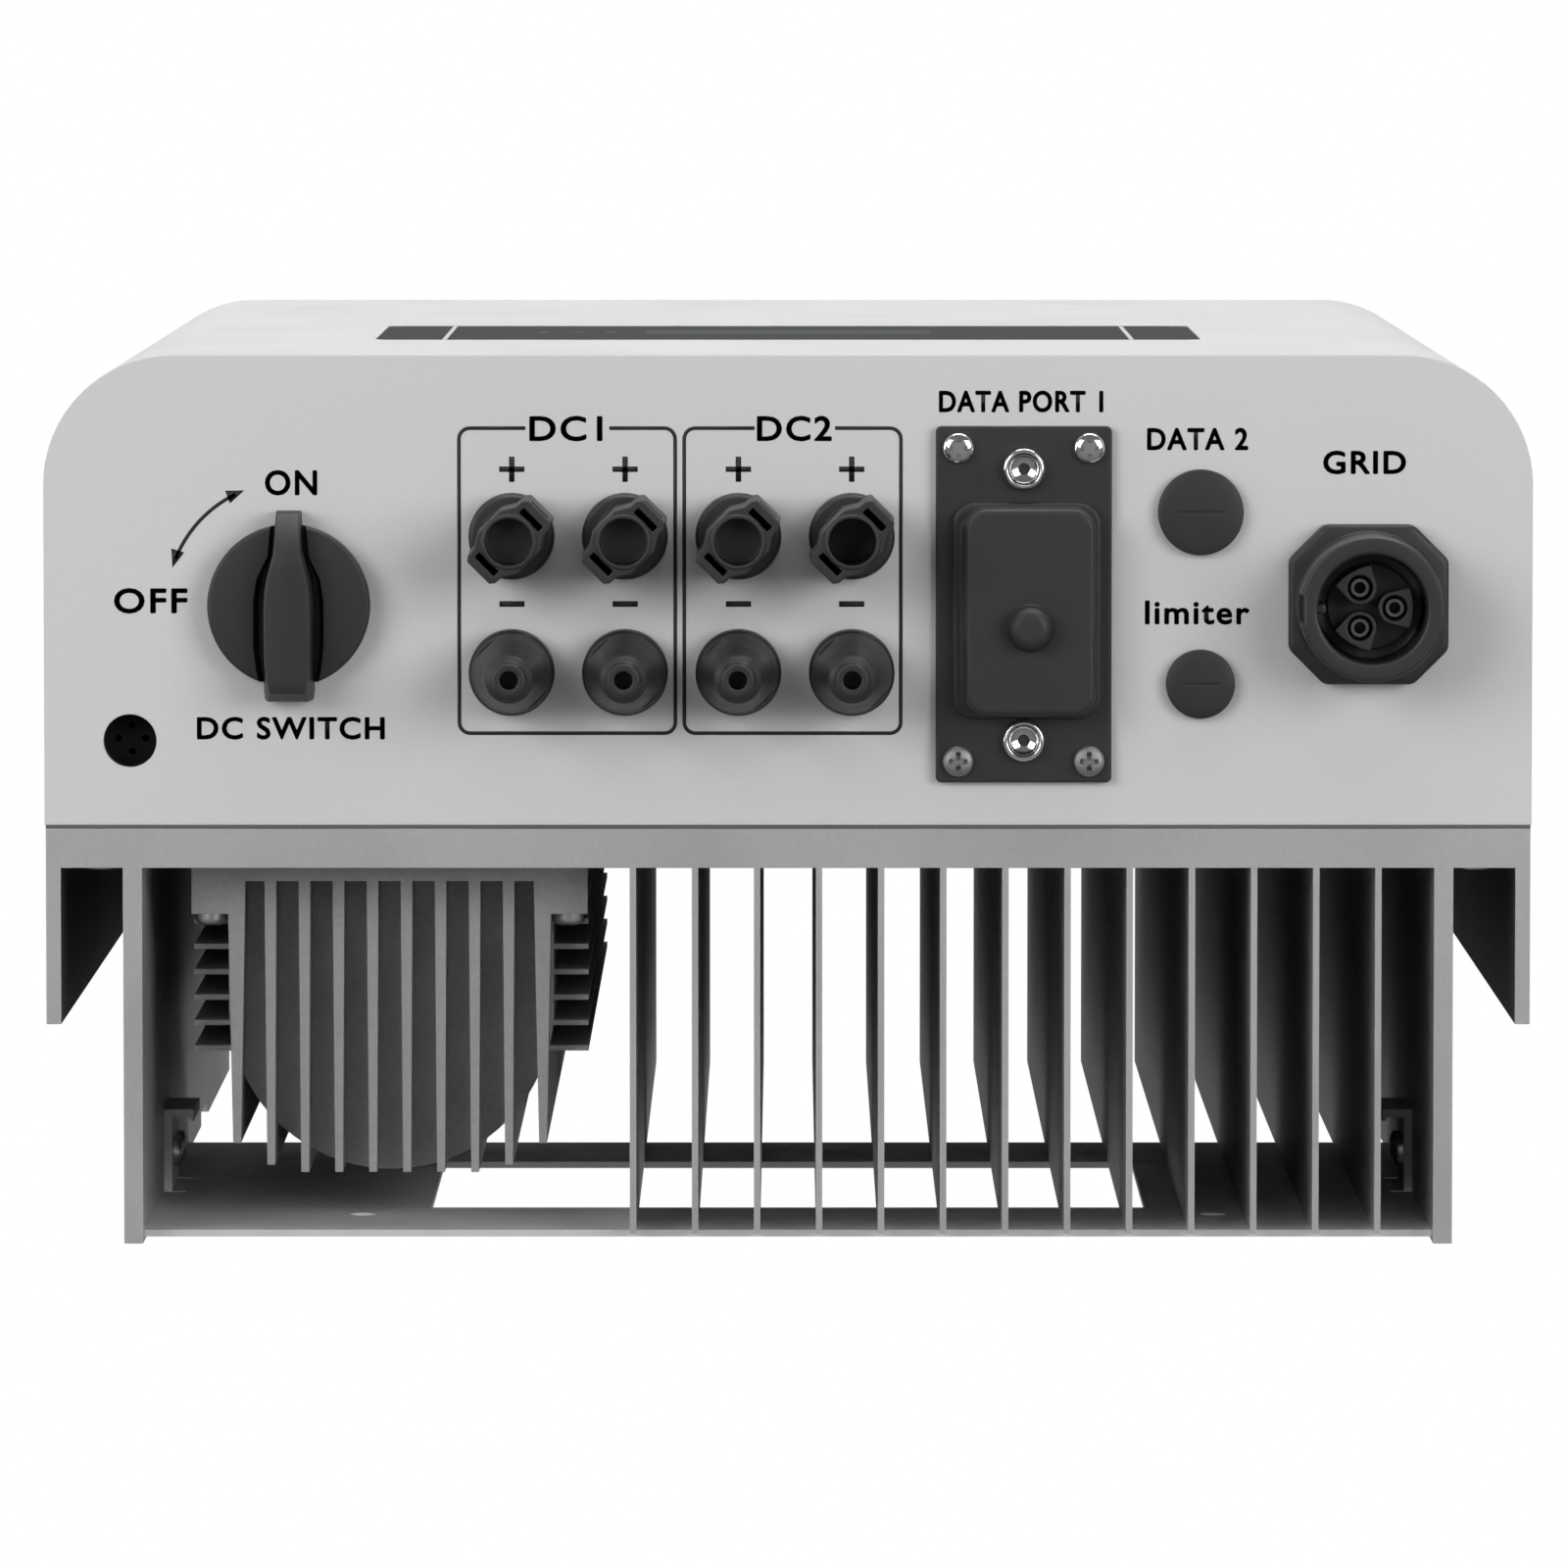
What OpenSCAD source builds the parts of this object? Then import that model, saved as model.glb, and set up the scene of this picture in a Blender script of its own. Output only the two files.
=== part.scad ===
// Wall-mounted string inverter for solar panels.
// It hangs with its connectors on the lower end, its cover to the front and its cooling fins to the wall.
// Origin: on the wall plane, on the centre line, at the height of the two hook notches.
// X runs to the right as seen from the front, Y runs towards the wall and Z runs up.
// The shapes are drawn in case coordinates: Y starts at the cover's front face and Z at the lower end.
// placed() then moves them to the origin.

/* [Case] */
// Width of the case
case_w = 330; // [325:1:400]
// Height of the case from its lower end to its upper end
case_h = 410; // [400:1:500]
// Depth of the cover in front of the gasket
cover_d = 104.2; // [96:0.1:130]
// Outer radius of the cover's two long front edges
cover_r = 28.7; // [12:0.1:35]
// Wall of the cover
cover_t = 2; // [1.5:0.1:3]
// Thickness of the two end panels
panel_t = 2; // [1.5:0.1:4]
// Height of the lip that each end panel has inside the cover
lip_h = 10; // [6:0.5:16]
// Thickness of that lip
lip_t = 1.5; // [1:0.1:2.5]
// Thickness of the gasket between cover and heat sink
gasket_t = 0.9; // [0.5:0.1:2]
// Width of the gasket and of the cover's inward flange
gasket_w = 14; // [12:0.5:20]
// Gap between parts that slip into each other
slip = 0.3; // [0.1:0.05:0.5]

/* [Heat sink] */
// Step of the heat sink behind the cover, each side
sink_step = 0.2; // [0:0.1:2]
// Thickness of the base plate
base_t = 8.7; // [6:0.1:14]
// Thickness of the two outer flanges
flange_t = 3.3; // [2:0.1:5]
// How far the outer flanges stand behind the base plate
flange_d = 34.8; // [15:0.1:60]
// Thickness of the two side fins that carry the case
side_fin_t = 4.2; // [3:0.1:6]
// Distance from the case's side to the middle of a side fin
side_fin_inset = 19.4; // [17:0.1:26]
// How far the side fins stand behind the base plate
side_fin_d = 83.8; // [80:0.1:120]
// Thickness of a thin fin
fin_t = 1.4; // [1:0.1:2.5]
// How far the thin fins stand behind the base plate
fin_d = 81.6; // [76:0.1:82]
// Pitch of the thin fins
fin_pitch = 13.8; // [9:0.1:20]
// Width of the bay without thin fins
bay_w = 108.3; // [92:0.1:120]
// Distance from the upper end down to the hook notches
hook_from_top = 129; // [60:1:200]
// Height of a hook notch
hook_h = 36; // [20:1:50]
// Depth of a hook notch
hook_d = 3.6; // [2:0.1:8]

/* [Rear plate] */
// Thickness of the rear plate
rear_t = 1.5; // [1:0.1:2.2]
// Lower edge of the rear plate above the lower end
rear_z = 8; // [2:1:20]
// Height of the rear plate
rear_h = 194; // [180:1:240]
// Width of the window in the rear plate
window_w = 162; // [100:1:180]
// Height of that window
window_h = 101.5; // [60:0.5:110]
// Lower edge of that window above the lower end
window_z = 55; // [50:1:70]
// Spacing of the two lower fixing holes
fixing_spacing = 192; // [150:1:220]
// Height of the fixing holes above the lower end
fixing_z = 40.6; // [25:0.1:45]
// Diameter of the fixing holes
fixing_d = 5.7; // [4.5:0.1:8]
// Thickness of the bent side tabs
tab_t = 1.8; // [1:0.1:2.5]
// Height of a side tab
tab_h = 28; // [20:1:40]
// Lower edge of the side tabs above the lower end
tab_z = 91; // [80:1:110]
// How far a side tab reaches in front of the plate
tab_d = 18.8; // [12:0.1:30]

/* [Inductor housing] */
// Length of the housing
ind_len = 303; // [250:1:340]
// Lower end of the housing above the lower end of the case
ind_z = 25; // [10:1:40]
// Width of the housing's mounting flange
ind_flange_w = 88.8; // [84:0.2:91]
// Thickness of that flange
ind_flange_t = 4.9; // [3:0.1:8]
// Outer radius of the round bottom
ind_r = 36.6; // [30:0.1:38]
// Wall of the housing
ind_wall = 3.6; // [2.5:0.1:5]
// Distance from the base plate to the middle of the round bottom
ind_axis_d = 34.3; // [25:0.1:40]
// Number of long ribs
rib_n = 10; // [6:2:12]
// Pitch of the long ribs
rib_pitch = 7.63; // [5:0.01:8]
// Thickness of a long rib at its root
rib_root_t = 2.7; // [1.8:0.1:3.5]
// Thickness of the two outermost ribs at their roots
rib_outer_root_t = 4.2; // [2.7:0.1:4.2]
// Thickness of a long rib at its edge
rib_tip_t = 1.75; // [1:0.05:2.5]
// How far the middle ribs reach behind the base plate
rib_d = 70.4; // [60:0.1:75]
// How far the ribs stand in front of the housing's end walls
rib_nose = 12; // [5:0.5:20]
// Number of short fins on each flank
flank_fin_n = 7; // [4:1:9]
// Pitch of the flank fins
flank_fin_pitch = 5.74; // [4:0.01:7]
// Thickness of a flank fin
flank_fin_t = 1.2; // [0.8:0.1:2]

/* [Display] */
// Width of the black display window
display_w = 190; // [120:1:220]
// Height of the display window
display_h = 103; // [60:1:130]
// Lower edge of the display window above the lower end
display_z = 104; // [60:1:150]
// Thickness of the display window
display_t = 0.9; // [0.6:0.1:1.2]
// Corner radius of the display window
display_r = 5; // [2:0.5:12]
// Width of the LCD opening
lcd_w = 66.7; // [50:0.1:90]
// Height of the LCD opening
lcd_h = 28; // [20:1:40]
// Middle of the LCD opening above the lower end
lcd_z = 160; // [130:1:180]

/* [DC switch] */
// Distance of the switch from the case's left side
switch_from_left = 54.5; // [50:0.5:62]
// Distance of the switch from the front face
switch_y = 55.2; // [45:0.1:65]
// Diameter of the knob's disc
knob_d = 36; // [30:0.5:44]
// Thickness of the knob's disc
knob_disc_h = 7; // [4:0.5:10]
// How far the knob's handle stands below the panel
knob_h = 15.5; // [11:0.5:25]
// Diameter of the switch shaft
shaft_d = 8; // [6:0.5:10]
// Radial running gap of the shaft
shaft_gap = 0.05; // [0.02:0.01:0.1]
// Width and depth of the switch body
switch_w = 46; // [40:1:48]
// Height of the switch body
switch_h = 58; // [40:1:70]

/* [String plugs] */
// Position of the first plug from the centre line
plug_x = -61.2; // [-66:0.1:-56]
// Pitch of the plugs
plug_pitch = 25.1; // [22.5:0.1:26]
// Number of plug pairs
plug_n = 4; // [4:1:4]
// Distance of the plus row from the front face
plus_y = 39.9; // [35:0.1:42]
// Distance of the minus row from the front face
minus_y = 70.1; // [66:0.1:78]
// Diameter of a plug's collar
collar_d = 19; // [17:0.1:21]
// Thickness of a plug's collar
collar_h = 7; // [4:0.5:10]
// Diameter of a plug's thread
thread_d = 16; // [12:0.5:16]
// How far a plus plug stands below the panel
plus_h = 30; // [24:0.5:36]
// Bore of a plus plug
plus_bore = 10.4; // [8:0.1:11]
// How far a minus plug stands below the panel
minus_h = 33; // [26:0.5:40]
// Diameter of a minus plug's nose
nose_d = 7.5; // [6:0.1:9]
// Bore of a minus plug's nose
nose_bore = 4; // [3:0.1:5]

/* [Communication plate] */
// Position of the plate from the centre line
com_x = 52.2; // [48:0.1:55]
// Distance of the plate's middle from the front face
com_y = 55.1; // [50:0.1:60]
// Width of the plate
com_w = 39; // [34:0.5:42]
// Length of the plate
com_l = 79; // [70:0.5:84]
// Thickness of the plate
com_t = 2.5; // [1.5:0.1:4]
// Distance between corner screws across the plate
com_screw_w = 29; // [26:0.5:31]
// Distance between corner screws along the plate
com_screw_l = 69.4; // [62:0.1:71]
// Distance between the two jack screws
jack_spacing = 60.2; // [56:0.1:62]
// Width of the rubber cap
cap_w = 29; // [24:0.5:32]
// Length of the rubber cap
cap_l = 46; // [40:0.5:48]
// How far the rubber cap stands below the plate
cap_h = 9.5; // [7:0.5:14]
// Diameter of the cap's pull knob
cap_knob_d = 9.5; // [6:0.5:12]
// Height of the cap's pull knob
cap_knob_h = 6; // [3:0.5:10]

/* [Blanking caps] */
// Position of the large blanking cap from the centre line
blank_x = 91.4; // [89:0.1:94]
// Distance of the large blanking cap from the front face
blank_large_y = 34.7; // [25:0.1:36]
// Distance of the small blanking cap from the front face
blank_small_y = 72.8; // [66:0.1:80]
// Diameter of the large blanking cap
blank_large_d = 19; // [18:0.1:22]
// Diameter of the small blanking cap
blank_small_d = 15.3; // [14.5:0.1:18]
// How far the blanking caps stand below the panel
blank_h = 3.2; // [2:0.1:6]

/* [AC socket] */
// Distance of the socket from the case's right side
ac_from_right = 36.5; // [32:0.5:38]
// Distance of the socket from the front face
ac_y = 55; // [45:0.1:65]
// Width of the socket's square flange
ac_flange_w = 35.3; // [34:0.1:38]
// Corner cut of that flange
ac_flange_cut = 7.7; // [4:0.1:10]
// Thickness of that flange
ac_flange_h = 6; // [3:0.5:9]
// Outer diameter of the socket's tube
ac_tube_d = 32; // [30:0.5:34]
// Inner diameter of the socket's tube
ac_bore_d = 24; // [20:0.5:26]
// How far the tube stands below the panel
ac_tube_h = 24.6; // [18:0.1:32]
// Pitch circle diameter of the three contacts
ac_pcd = 10.2; // [9:0.1:12]

/* [Breather] */
// Distance of the breather from the case's left side
breather_from_left = 19; // [17:0.5:22]
// Distance of the breather from the front face
breather_y = 85.5; // [80:0.5:90]
// Diameter of the breather hole
breather_d = 11.8; // [8:0.1:14]

/* [Electronics] */
// Distance of the power board from the case's sides
board_inset = 23; // [22:1:40]
// Height of the power board
board_h = 286; // [270:1:296]
// Lower edge of the power board above the lower end
board_z = 94; // [88:1:98]
// Thickness of the boards
board_t = 1.6; // [1:0.1:2.4]
// Length of the standoffs between base plate and power board
standoff_h = 15.5; // [13:0.5:18]
// Diameter of a DC link capacitor
link_cap_d = 30; // [22:1:35]
// Height of a DC link capacitor
link_cap_h = 45; // [30:1:55]
// Number of power modules
module_n = 6; // [3:1:6]

/* [Hidden] */
$fn = 64;

eps = 0.01;
thread_gap = 0.1;                                         // gap round every screw shank
base_y = cover_d + gasket_t;                              // front face of the base plate
fin_y = base_y + base_t;                                  // root of the fins
total_d = fin_y + side_fin_d;                             // front face to wall
hang_z = case_h - hook_from_top;                          // height of the origin
sink_half = case_w / 2 - sink_step;
side_fin_x = case_w / 2 - side_fin_inset;
side_fin_in = side_fin_x - side_fin_t / 2;                // inner face of a side fin
channel_x = (sink_half - flange_t + side_fin_x + side_fin_t / 2) / 2;
first_fin_x = -side_fin_in + bay_w + fin_t / 2;
fin_xs = [for (x = first_fin_x; x < side_fin_in - fin_pitch / 2; x = x + fin_pitch) x];

lip_inset = cover_t + slip;                               // outside of the lip from the case's side

cover_screw_d = 5;
cover_screw_n = 5;
cover_screw_end = 32;
cover_screw_zs = [for (i = [0 : cover_screw_n - 1])
    cover_screw_end + i * (case_h - 2 * cover_screw_end) / (cover_screw_n - 1)];

ind_x = -side_fin_in + bay_w / 2;                         // middle of the bay
ind_axis_y = fin_y + ind_axis_d;
ind_screw_d = 5;
ind_screw_x = ind_flange_w / 2 - 4.4;
ind_screw_inset = 6;
ind_boss_h = 7.4;
core_n = 3;
core_r = ind_r - ind_wall - 4;
core_h = 34;
core_hole_r = 12;
winding_t = 2.6;
core_pitch = (ind_len - 2 * rib_nose - 2 * ind_wall) / core_n;

rib_drop = 6.5;                                           // how much shorter the outermost rib is
flank_fin_start = 9.1;                                    // first flank fin behind the base plate

rear_y = fin_y + fin_d;                                   // front face of the rear plate
tab_lip_w = 5;
tab_lip_t = 1.9;
tab_relief = 1.7;
tab_screw_d = 4;
tab_screw_y = rear_y - 8.5;
tab_screw_zs = [tab_z + 7, tab_z + tab_h - 7];

led_d = 3;
led_xs = [-lcd_w / 2 - 24, -lcd_w / 2 - 16, -lcd_w / 2 - 8];
display_board_y = 12;
display_board_w = 150;
display_board_h = 84;
display_spacer_x = display_board_w / 2 - 6;
display_spacer_z = display_board_h / 2 - 6;

switch_x = -case_w / 2 + switch_from_left;
switch_body_z = panel_t + 1.5;                            // the seal lies between panel and body
shaft_len = switch_h - 6;
rotor_d = 24;
rotor_h = 40;
switch_cavity_z = switch_body_z + 5;

plug_xs = [for (i = [0 : plug_n - 1]) plug_x + i * plug_pitch];
plug_nut_w = 20;
plug_nut_h = 6;
contact_d = 4;                                            // pin of a plus plug
pin_depth = 18.5;                                         // from the plug's mouth to the pin's tip
plus_bore_h = 18;                                         // wide part of the plus plug's bore
sleeve_d = 3.2;                                           // sleeve of a minus plug
sleeve_depth = 8.5;
nose_bore_h = 8;
plug_tail_h = 10;
plug_tail_d = 11;
lead_d = 4;
lead_bend_r = 8;

com_screw_d = 3;
jack_screw_d = 4;
jack_bore_d = 2.6;
cap_shift = 1.3;                                          // the cap sits off the plate's middle
com_hole_w = 22;
com_hole_l = 38;
com_rim_h = 6.5;

blank_large_thread = 15.5;
blank_small_thread = 12;

ac_x = case_w / 2 - ac_from_right;
ac_neck_d = 28;
ac_neck_h = 12;                                           // thread behind the panel
ac_plug_d = 20;                                           // part of the insert inside the neck
ac_disc_h = 2;                                            // the insert's disc at the floor of the well
ac_floor_z = -9;                                          // floor of the socket's well
ac_contact_d = 4;
ac_tail_h = 14;
ac_petal_d = 7.4;
ac_angles = [120, 0, 240];

breather_x = -case_w / 2 + breather_from_left;

board_w = case_w - 2 * board_inset;
board_y = base_y - standoff_h - board_t;                  // front face of the power board
standoff_xs = [-board_w / 2 + 7, 0, board_w / 2 - 7];
standoff_zs = [board_z + 7, board_z + board_h - 7];
standoff_d = 7;
board_screw_d = 4;
module_w = 32;
module_h = 44;
module_d = 11.5;
pad_t = 0.5;
module_pitch = (board_w - 40) / module_n;
module_z = board_z + board_h - 80;
control_w = 150;
control_h = 70;
control_z = board_z + 130;
control_y = board_y - 42;
ribbon_w = 26;
link_cap_pitch = 42;
link_cap_zs = [board_z + board_h - 24, board_z + board_h - 62];

// ---------------------------------------------------------------- shared shapes

module placed() {
    translate([0, -total_d, -hang_z]) children();
}

module at_panel(x, y) {
    placed() translate([x, y, 0]) children();
}

// A box given by its two opposite corners
module block(low, high) {
    translate(low) cube(high - low);
}

module rounded_rect(w, l, r) {
    square([w - 2 * r, l], center = true);
    square([w, l - 2 * r], center = true);
    for (x = [-1, 1]) {
        for (y = [-1, 1]) {
            translate([x * (w / 2 - r), y * (l / 2 - r)]) circle(r);
        }
    }
}

// A rounded plate that hangs down from z = 0
module hanging_plate(w, l, h, r) {
    translate([0, 0, -h]) linear_extrude(h) rounded_rect(w, l, r);
}

// A cylinder that hangs down from z = top
module hanging_cylinder(d, h, top = 0) {
    translate([0, 0, top - h]) cylinder(h = h, d = d);
}

// Cross section of the case in front of the gasket, made smaller by inset on three sides
module case_outline(inset, back = cover_d) {
    half = case_w / 2 - inset;
    r = cover_r - inset;
    translate([-half, cover_r]) square([2 * half, back - cover_r]);
    translate([-half + r, inset]) square([2 * (half - r), r + eps]);
    for (s = [-1, 1]) {
        translate([s * (half - r), cover_r]) circle(r);
    }
}

module hexagon(w, h) {
    cylinder(h = h, d = w / cos(30), $fn = 6);
}

// A cross-recessed screw: its head stands on z = 0 and its shank hangs below
module cross_screw(d, length, head_d, head_h) {
    recess = head_d * 0.55;
    blade = head_d * 0.13;
    difference() {
        union() {
            hanging_cylinder(d, length);
            cylinder(h = head_h * 0.5, d = head_d);
            translate([0, 0, head_h * 0.5]) cylinder(h = head_h * 0.5, d1 = head_d, d2 = head_d * 0.72);
        }
        for (a = [0, 90]) {
            rotate([0, 0, a]) translate([-recess / 2, -blade / 2, head_h * 0.45])
                cube([recess, blade, head_h]);
        }
    }
}

// Turn a shape that stands along +Z so that it points down, to the wall or to the front
module pointing_down() {
    rotate([180, 0, 0]) children();
}

module pointing_to_wall() {
    rotate([-90, 0, 0]) children();
}

module pointing_to_front() {
    rotate([90, 0, 0]) children();
}

// ---------------------------------------------------------------- heat sink and case

module sink_profile() {
    translate([-sink_half, base_y]) square([2 * sink_half, base_t]);
    for (s = [-1, 1]) {
        translate([s * (sink_half - flange_t / 2) - flange_t / 2, base_y])
            square([flange_t, base_t + flange_d]);
        translate([s * side_fin_x - side_fin_t / 2, base_y])
            square([side_fin_t, base_t + side_fin_d]);
    }
    for (x = fin_xs) {
        translate([x - fin_t / 2, base_y]) square([fin_t, base_t + fin_d]);
    }
}

module cover_screw_holes() {
    for (s = [-1, 1]) {
        for (z = cover_screw_zs) {
            translate([s * channel_x, cover_d - cover_t - eps, z]) pointing_to_wall()
                cylinder(h = gasket_t + base_t + cover_t + 2 * eps, d = cover_screw_d + 2 * thread_gap);
        }
    }
}

module ind_corners() {
    for (x = [-1, 1]) {
        for (z = [ind_z + ind_screw_inset, ind_z + ind_len - ind_screw_inset]) {
            translate([ind_x + x * ind_screw_x, 0, z]) children();
        }
    }
}

module standoff_places() {
    for (x = standoff_xs) {
        for (z = standoff_zs) {
            translate([x, 0, z]) children();
        }
    }
}

module heat_sink() {
    screw_depth = 6.5;
    color("darkgray") placed() difference() {
        linear_extrude(case_h) sink_profile();
        for (s = [-1, 1]) {
            translate([s * side_fin_x, total_d - hook_d / 2 + eps, hang_z])
                cube([side_fin_t + 2, hook_d + 2 * eps, hook_h], center = true);
            for (z = tab_screw_zs) {
                translate([s * (side_fin_in - eps), tab_screw_y, z]) rotate([0, s * 90, 0])
                    cylinder(h = 3.4, d = tab_screw_d + 2 * thread_gap);
            }
        }
        cover_screw_holes();
        ind_corners() translate([0, fin_y - screw_depth, 0]) pointing_to_wall()
            cylinder(h = screw_depth + eps, d = ind_screw_d + 2 * thread_gap);
        standoff_places() translate([0, base_y - eps, 0]) pointing_to_wall()
            cylinder(h = screw_depth, d = board_screw_d + 2 * thread_gap);
    }
}

module front_cover() {
    flange_z = panel_t + lip_h + 2;
    color("gainsboro") placed() difference() {
        union() {
            translate([0, 0, panel_t]) linear_extrude(case_h - 2 * panel_t) difference() {
                case_outline(0);
                case_outline(cover_t, cover_d + 1);
            }
            for (s = [-1, 1]) {
                translate([s * (case_w / 2 - cover_t / 2 - gasket_w / 2), cover_d - cover_t / 2, case_h / 2])
                    cube([gasket_w + cover_t, cover_t, case_h - 2 * flange_z], center = true);
            }
        }
        translate([0, display_t + 0.1, display_z + display_h / 2]) pointing_to_front()
            linear_extrude(display_t + 1) rounded_rect(display_w + 0.2, display_h + 0.2, display_r);
        translate([0, cover_t, lcd_z]) cube([lcd_w, 3 * cover_t, lcd_h], center = true);
        for (x = led_xs) {
            translate([x, cover_t + 1, lcd_z]) pointing_to_front()
                cylinder(h = 2 * cover_t, d = led_d + 2 * slip);
        }
        cover_screw_holes();
    }
}

module end_panel() {
    linear_extrude(panel_t) case_outline(0);
    translate([0, 0, panel_t - eps]) linear_extrude(lip_h + eps) difference() {
        case_outline(lip_inset);
        case_outline(lip_inset + lip_t, cover_d - lip_t);
    }
}

module bottom_panel() {
    through = panel_t + 2 * eps;
    color("gainsboro") placed() difference() {
        end_panel();
        translate([switch_x, switch_y, -eps]) cylinder(h = through, d = shaft_d + 2.4);
        for (x = plug_xs) {
            for (y = [plus_y, minus_y]) {
                translate([x, y, -eps]) cylinder(h = through, d = thread_d + 2 * thread_gap);
            }
        }
        translate([com_x, com_y, -eps]) linear_extrude(through) rounded_rect(com_hole_w, com_hole_l, 3);
        com_screw_places() translate([0, 0, -eps]) cylinder(h = through, d = com_screw_d + 2 * thread_gap);
        com_jack_places() translate([0, 0, -eps]) cylinder(h = through, d = jack_screw_d + 2 * thread_gap);
        translate([blank_x, blank_large_y, -eps])
            cylinder(h = through, d = blank_large_thread + 2 * thread_gap);
        translate([blank_x, blank_small_y, -eps])
            cylinder(h = through, d = blank_small_thread + 2 * thread_gap);
        translate([ac_x, ac_y, -eps]) cylinder(h = through, d = ac_neck_d + 2 * thread_gap);
        translate([breather_x, breather_y, -eps]) cylinder(h = through, d = breather_d);
    }
}

module top_panel() {
    color("gainsboro") placed() translate([0, 0, case_h]) mirror([0, 0, 1]) end_panel();
}

module cover_gasket() {
    end_w = lip_t + 6;
    color("dimgray") placed() difference() {
        block([-sink_half, cover_d, 0], [sink_half, base_y, case_h]);
        block([-sink_half + gasket_w + cover_t, cover_d - 1, end_w],
              [sink_half - gasket_w - cover_t, base_y + 1, case_h - end_w]);
        cover_screw_holes();
    }
}

module cover_screws() {
    head_h = 2.8;
    color("silver") placed() {
        for (s = [-1, 1]) {
            for (z = cover_screw_zs) {
                translate([s * channel_x, fin_y, z]) pointing_to_wall()
                    cross_screw(cover_screw_d, base_t + gasket_t + cover_t, 9.2, head_h);
            }
        }
    }
}

// ---------------------------------------------------------------- inductor housing

// How far rib k is outside the middle half of the ribs: 0 there and 1 for the outermost rib
function rib_outness(k) = max(0, (abs(k) - rib_n / 4) / (rib_n / 4 - 0.5));

// Depth of rib k behind the base plate: the outer ribs are a little shorter
function rib_depth(k) = rib_d - rib_drop * pow(rib_outness(k), 2);

module rib_section(depth, root_t) {
    polygon([
        [-root_t / 2, 0], [root_t / 2, 0],
        [rib_tip_t / 2, depth], [-rib_tip_t / 2, depth]
    ]);
}

module trough(r, length) {
    linear_extrude(length) {
        intersection() {
            circle(r);
            translate([-r, -1]) square([2 * r, r + 2]);
        }
        translate([-r, -ind_axis_d]) square([2 * r, ind_axis_d]);
    }
}

module ind_outer() {
    body_len = ind_len - 2 * rib_nose;
    translate([ind_x - ind_flange_w / 2, fin_y, ind_z]) cube([ind_flange_w, ind_flange_t, ind_len]);
    translate([ind_x, ind_axis_y, ind_z + rib_nose]) trough(ind_r, body_len);
    for (i = [0 : rib_n - 1]) {
        k = i - (rib_n - 1) / 2;
        root_t = abs(k) > rib_n / 2 - 1 ? rib_outer_root_t : rib_root_t;
        translate([ind_x + k * rib_pitch, fin_y, ind_z]) linear_extrude(ind_len)
            rib_section(rib_depth(k), root_t);
    }
    for (i = [0 : flank_fin_n - 1]) {
        y = fin_y + flank_fin_start + i * flank_fin_pitch;
        translate([ind_x - ind_flange_w / 2, y - flank_fin_t / 2, ind_z + rib_nose])
            cube([ind_flange_w, flank_fin_t, body_len]);
    }
    ind_corners() translate([0, fin_y, 0]) pointing_to_wall()
        cylinder(h = ind_flange_t + ind_boss_h, d = 8.8);
    ind_corners() translate([0, fin_y + ind_flange_t, 0])
        translate([-4.4, 0, -ind_screw_inset]) cube([8.8, ind_boss_h, ind_screw_inset]);
}

module inductor_housing() {
    color("gray") placed() difference() {
        ind_outer();
        translate([ind_x, ind_axis_y, ind_z + rib_nose + ind_wall])
            trough(ind_r - ind_wall, ind_len - 2 * (rib_nose + ind_wall));
        ind_corners() translate([0, fin_y - eps, 0]) pointing_to_wall()
            cylinder(h = ind_flange_t + ind_boss_h + 1, d = ind_screw_d + 2 * thread_gap);
    }
}

module inductor_screws() {
    color("silver") placed() ind_corners() translate([0, fin_y + ind_flange_t + ind_boss_h, 0])
        pointing_to_wall() cross_screw(ind_screw_d, ind_flange_t + ind_boss_h + 5, 7.4, 3);
}

module core_places() {
    for (i = [0 : core_n - 1]) {
        translate([ind_x, ind_axis_y - 1, ind_z + rib_nose + ind_wall + (i + 0.5) * core_pitch]) children();
    }
}

module ring(outer_r, inner_r, h) {
    difference() {
        cylinder(h = h, r = outer_r, center = true);
        cylinder(h = h + 1, r = inner_r, center = true);
    }
}

module inductor_cores() {
    color("slategray") placed() core_places() ring(core_r - winding_t, core_hole_r, core_h);
}

// The copper winding wraps the core all round but for a gap where its two ends leave
module inductor_windings() {
    gap_w = 10;
    color("chocolate") placed() core_places() difference() {
        ring(core_r, core_hole_r - winding_t, core_h + 2 * winding_t);
        ring(core_r - winding_t + 0.05, core_hole_r - 0.05, core_h + 0.1);
        translate([-gap_w / 2, -core_r - 1, -core_h]) cube([gap_w, core_r, 2 * core_h]);
    }
}

// ---------------------------------------------------------------- rear plate

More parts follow.
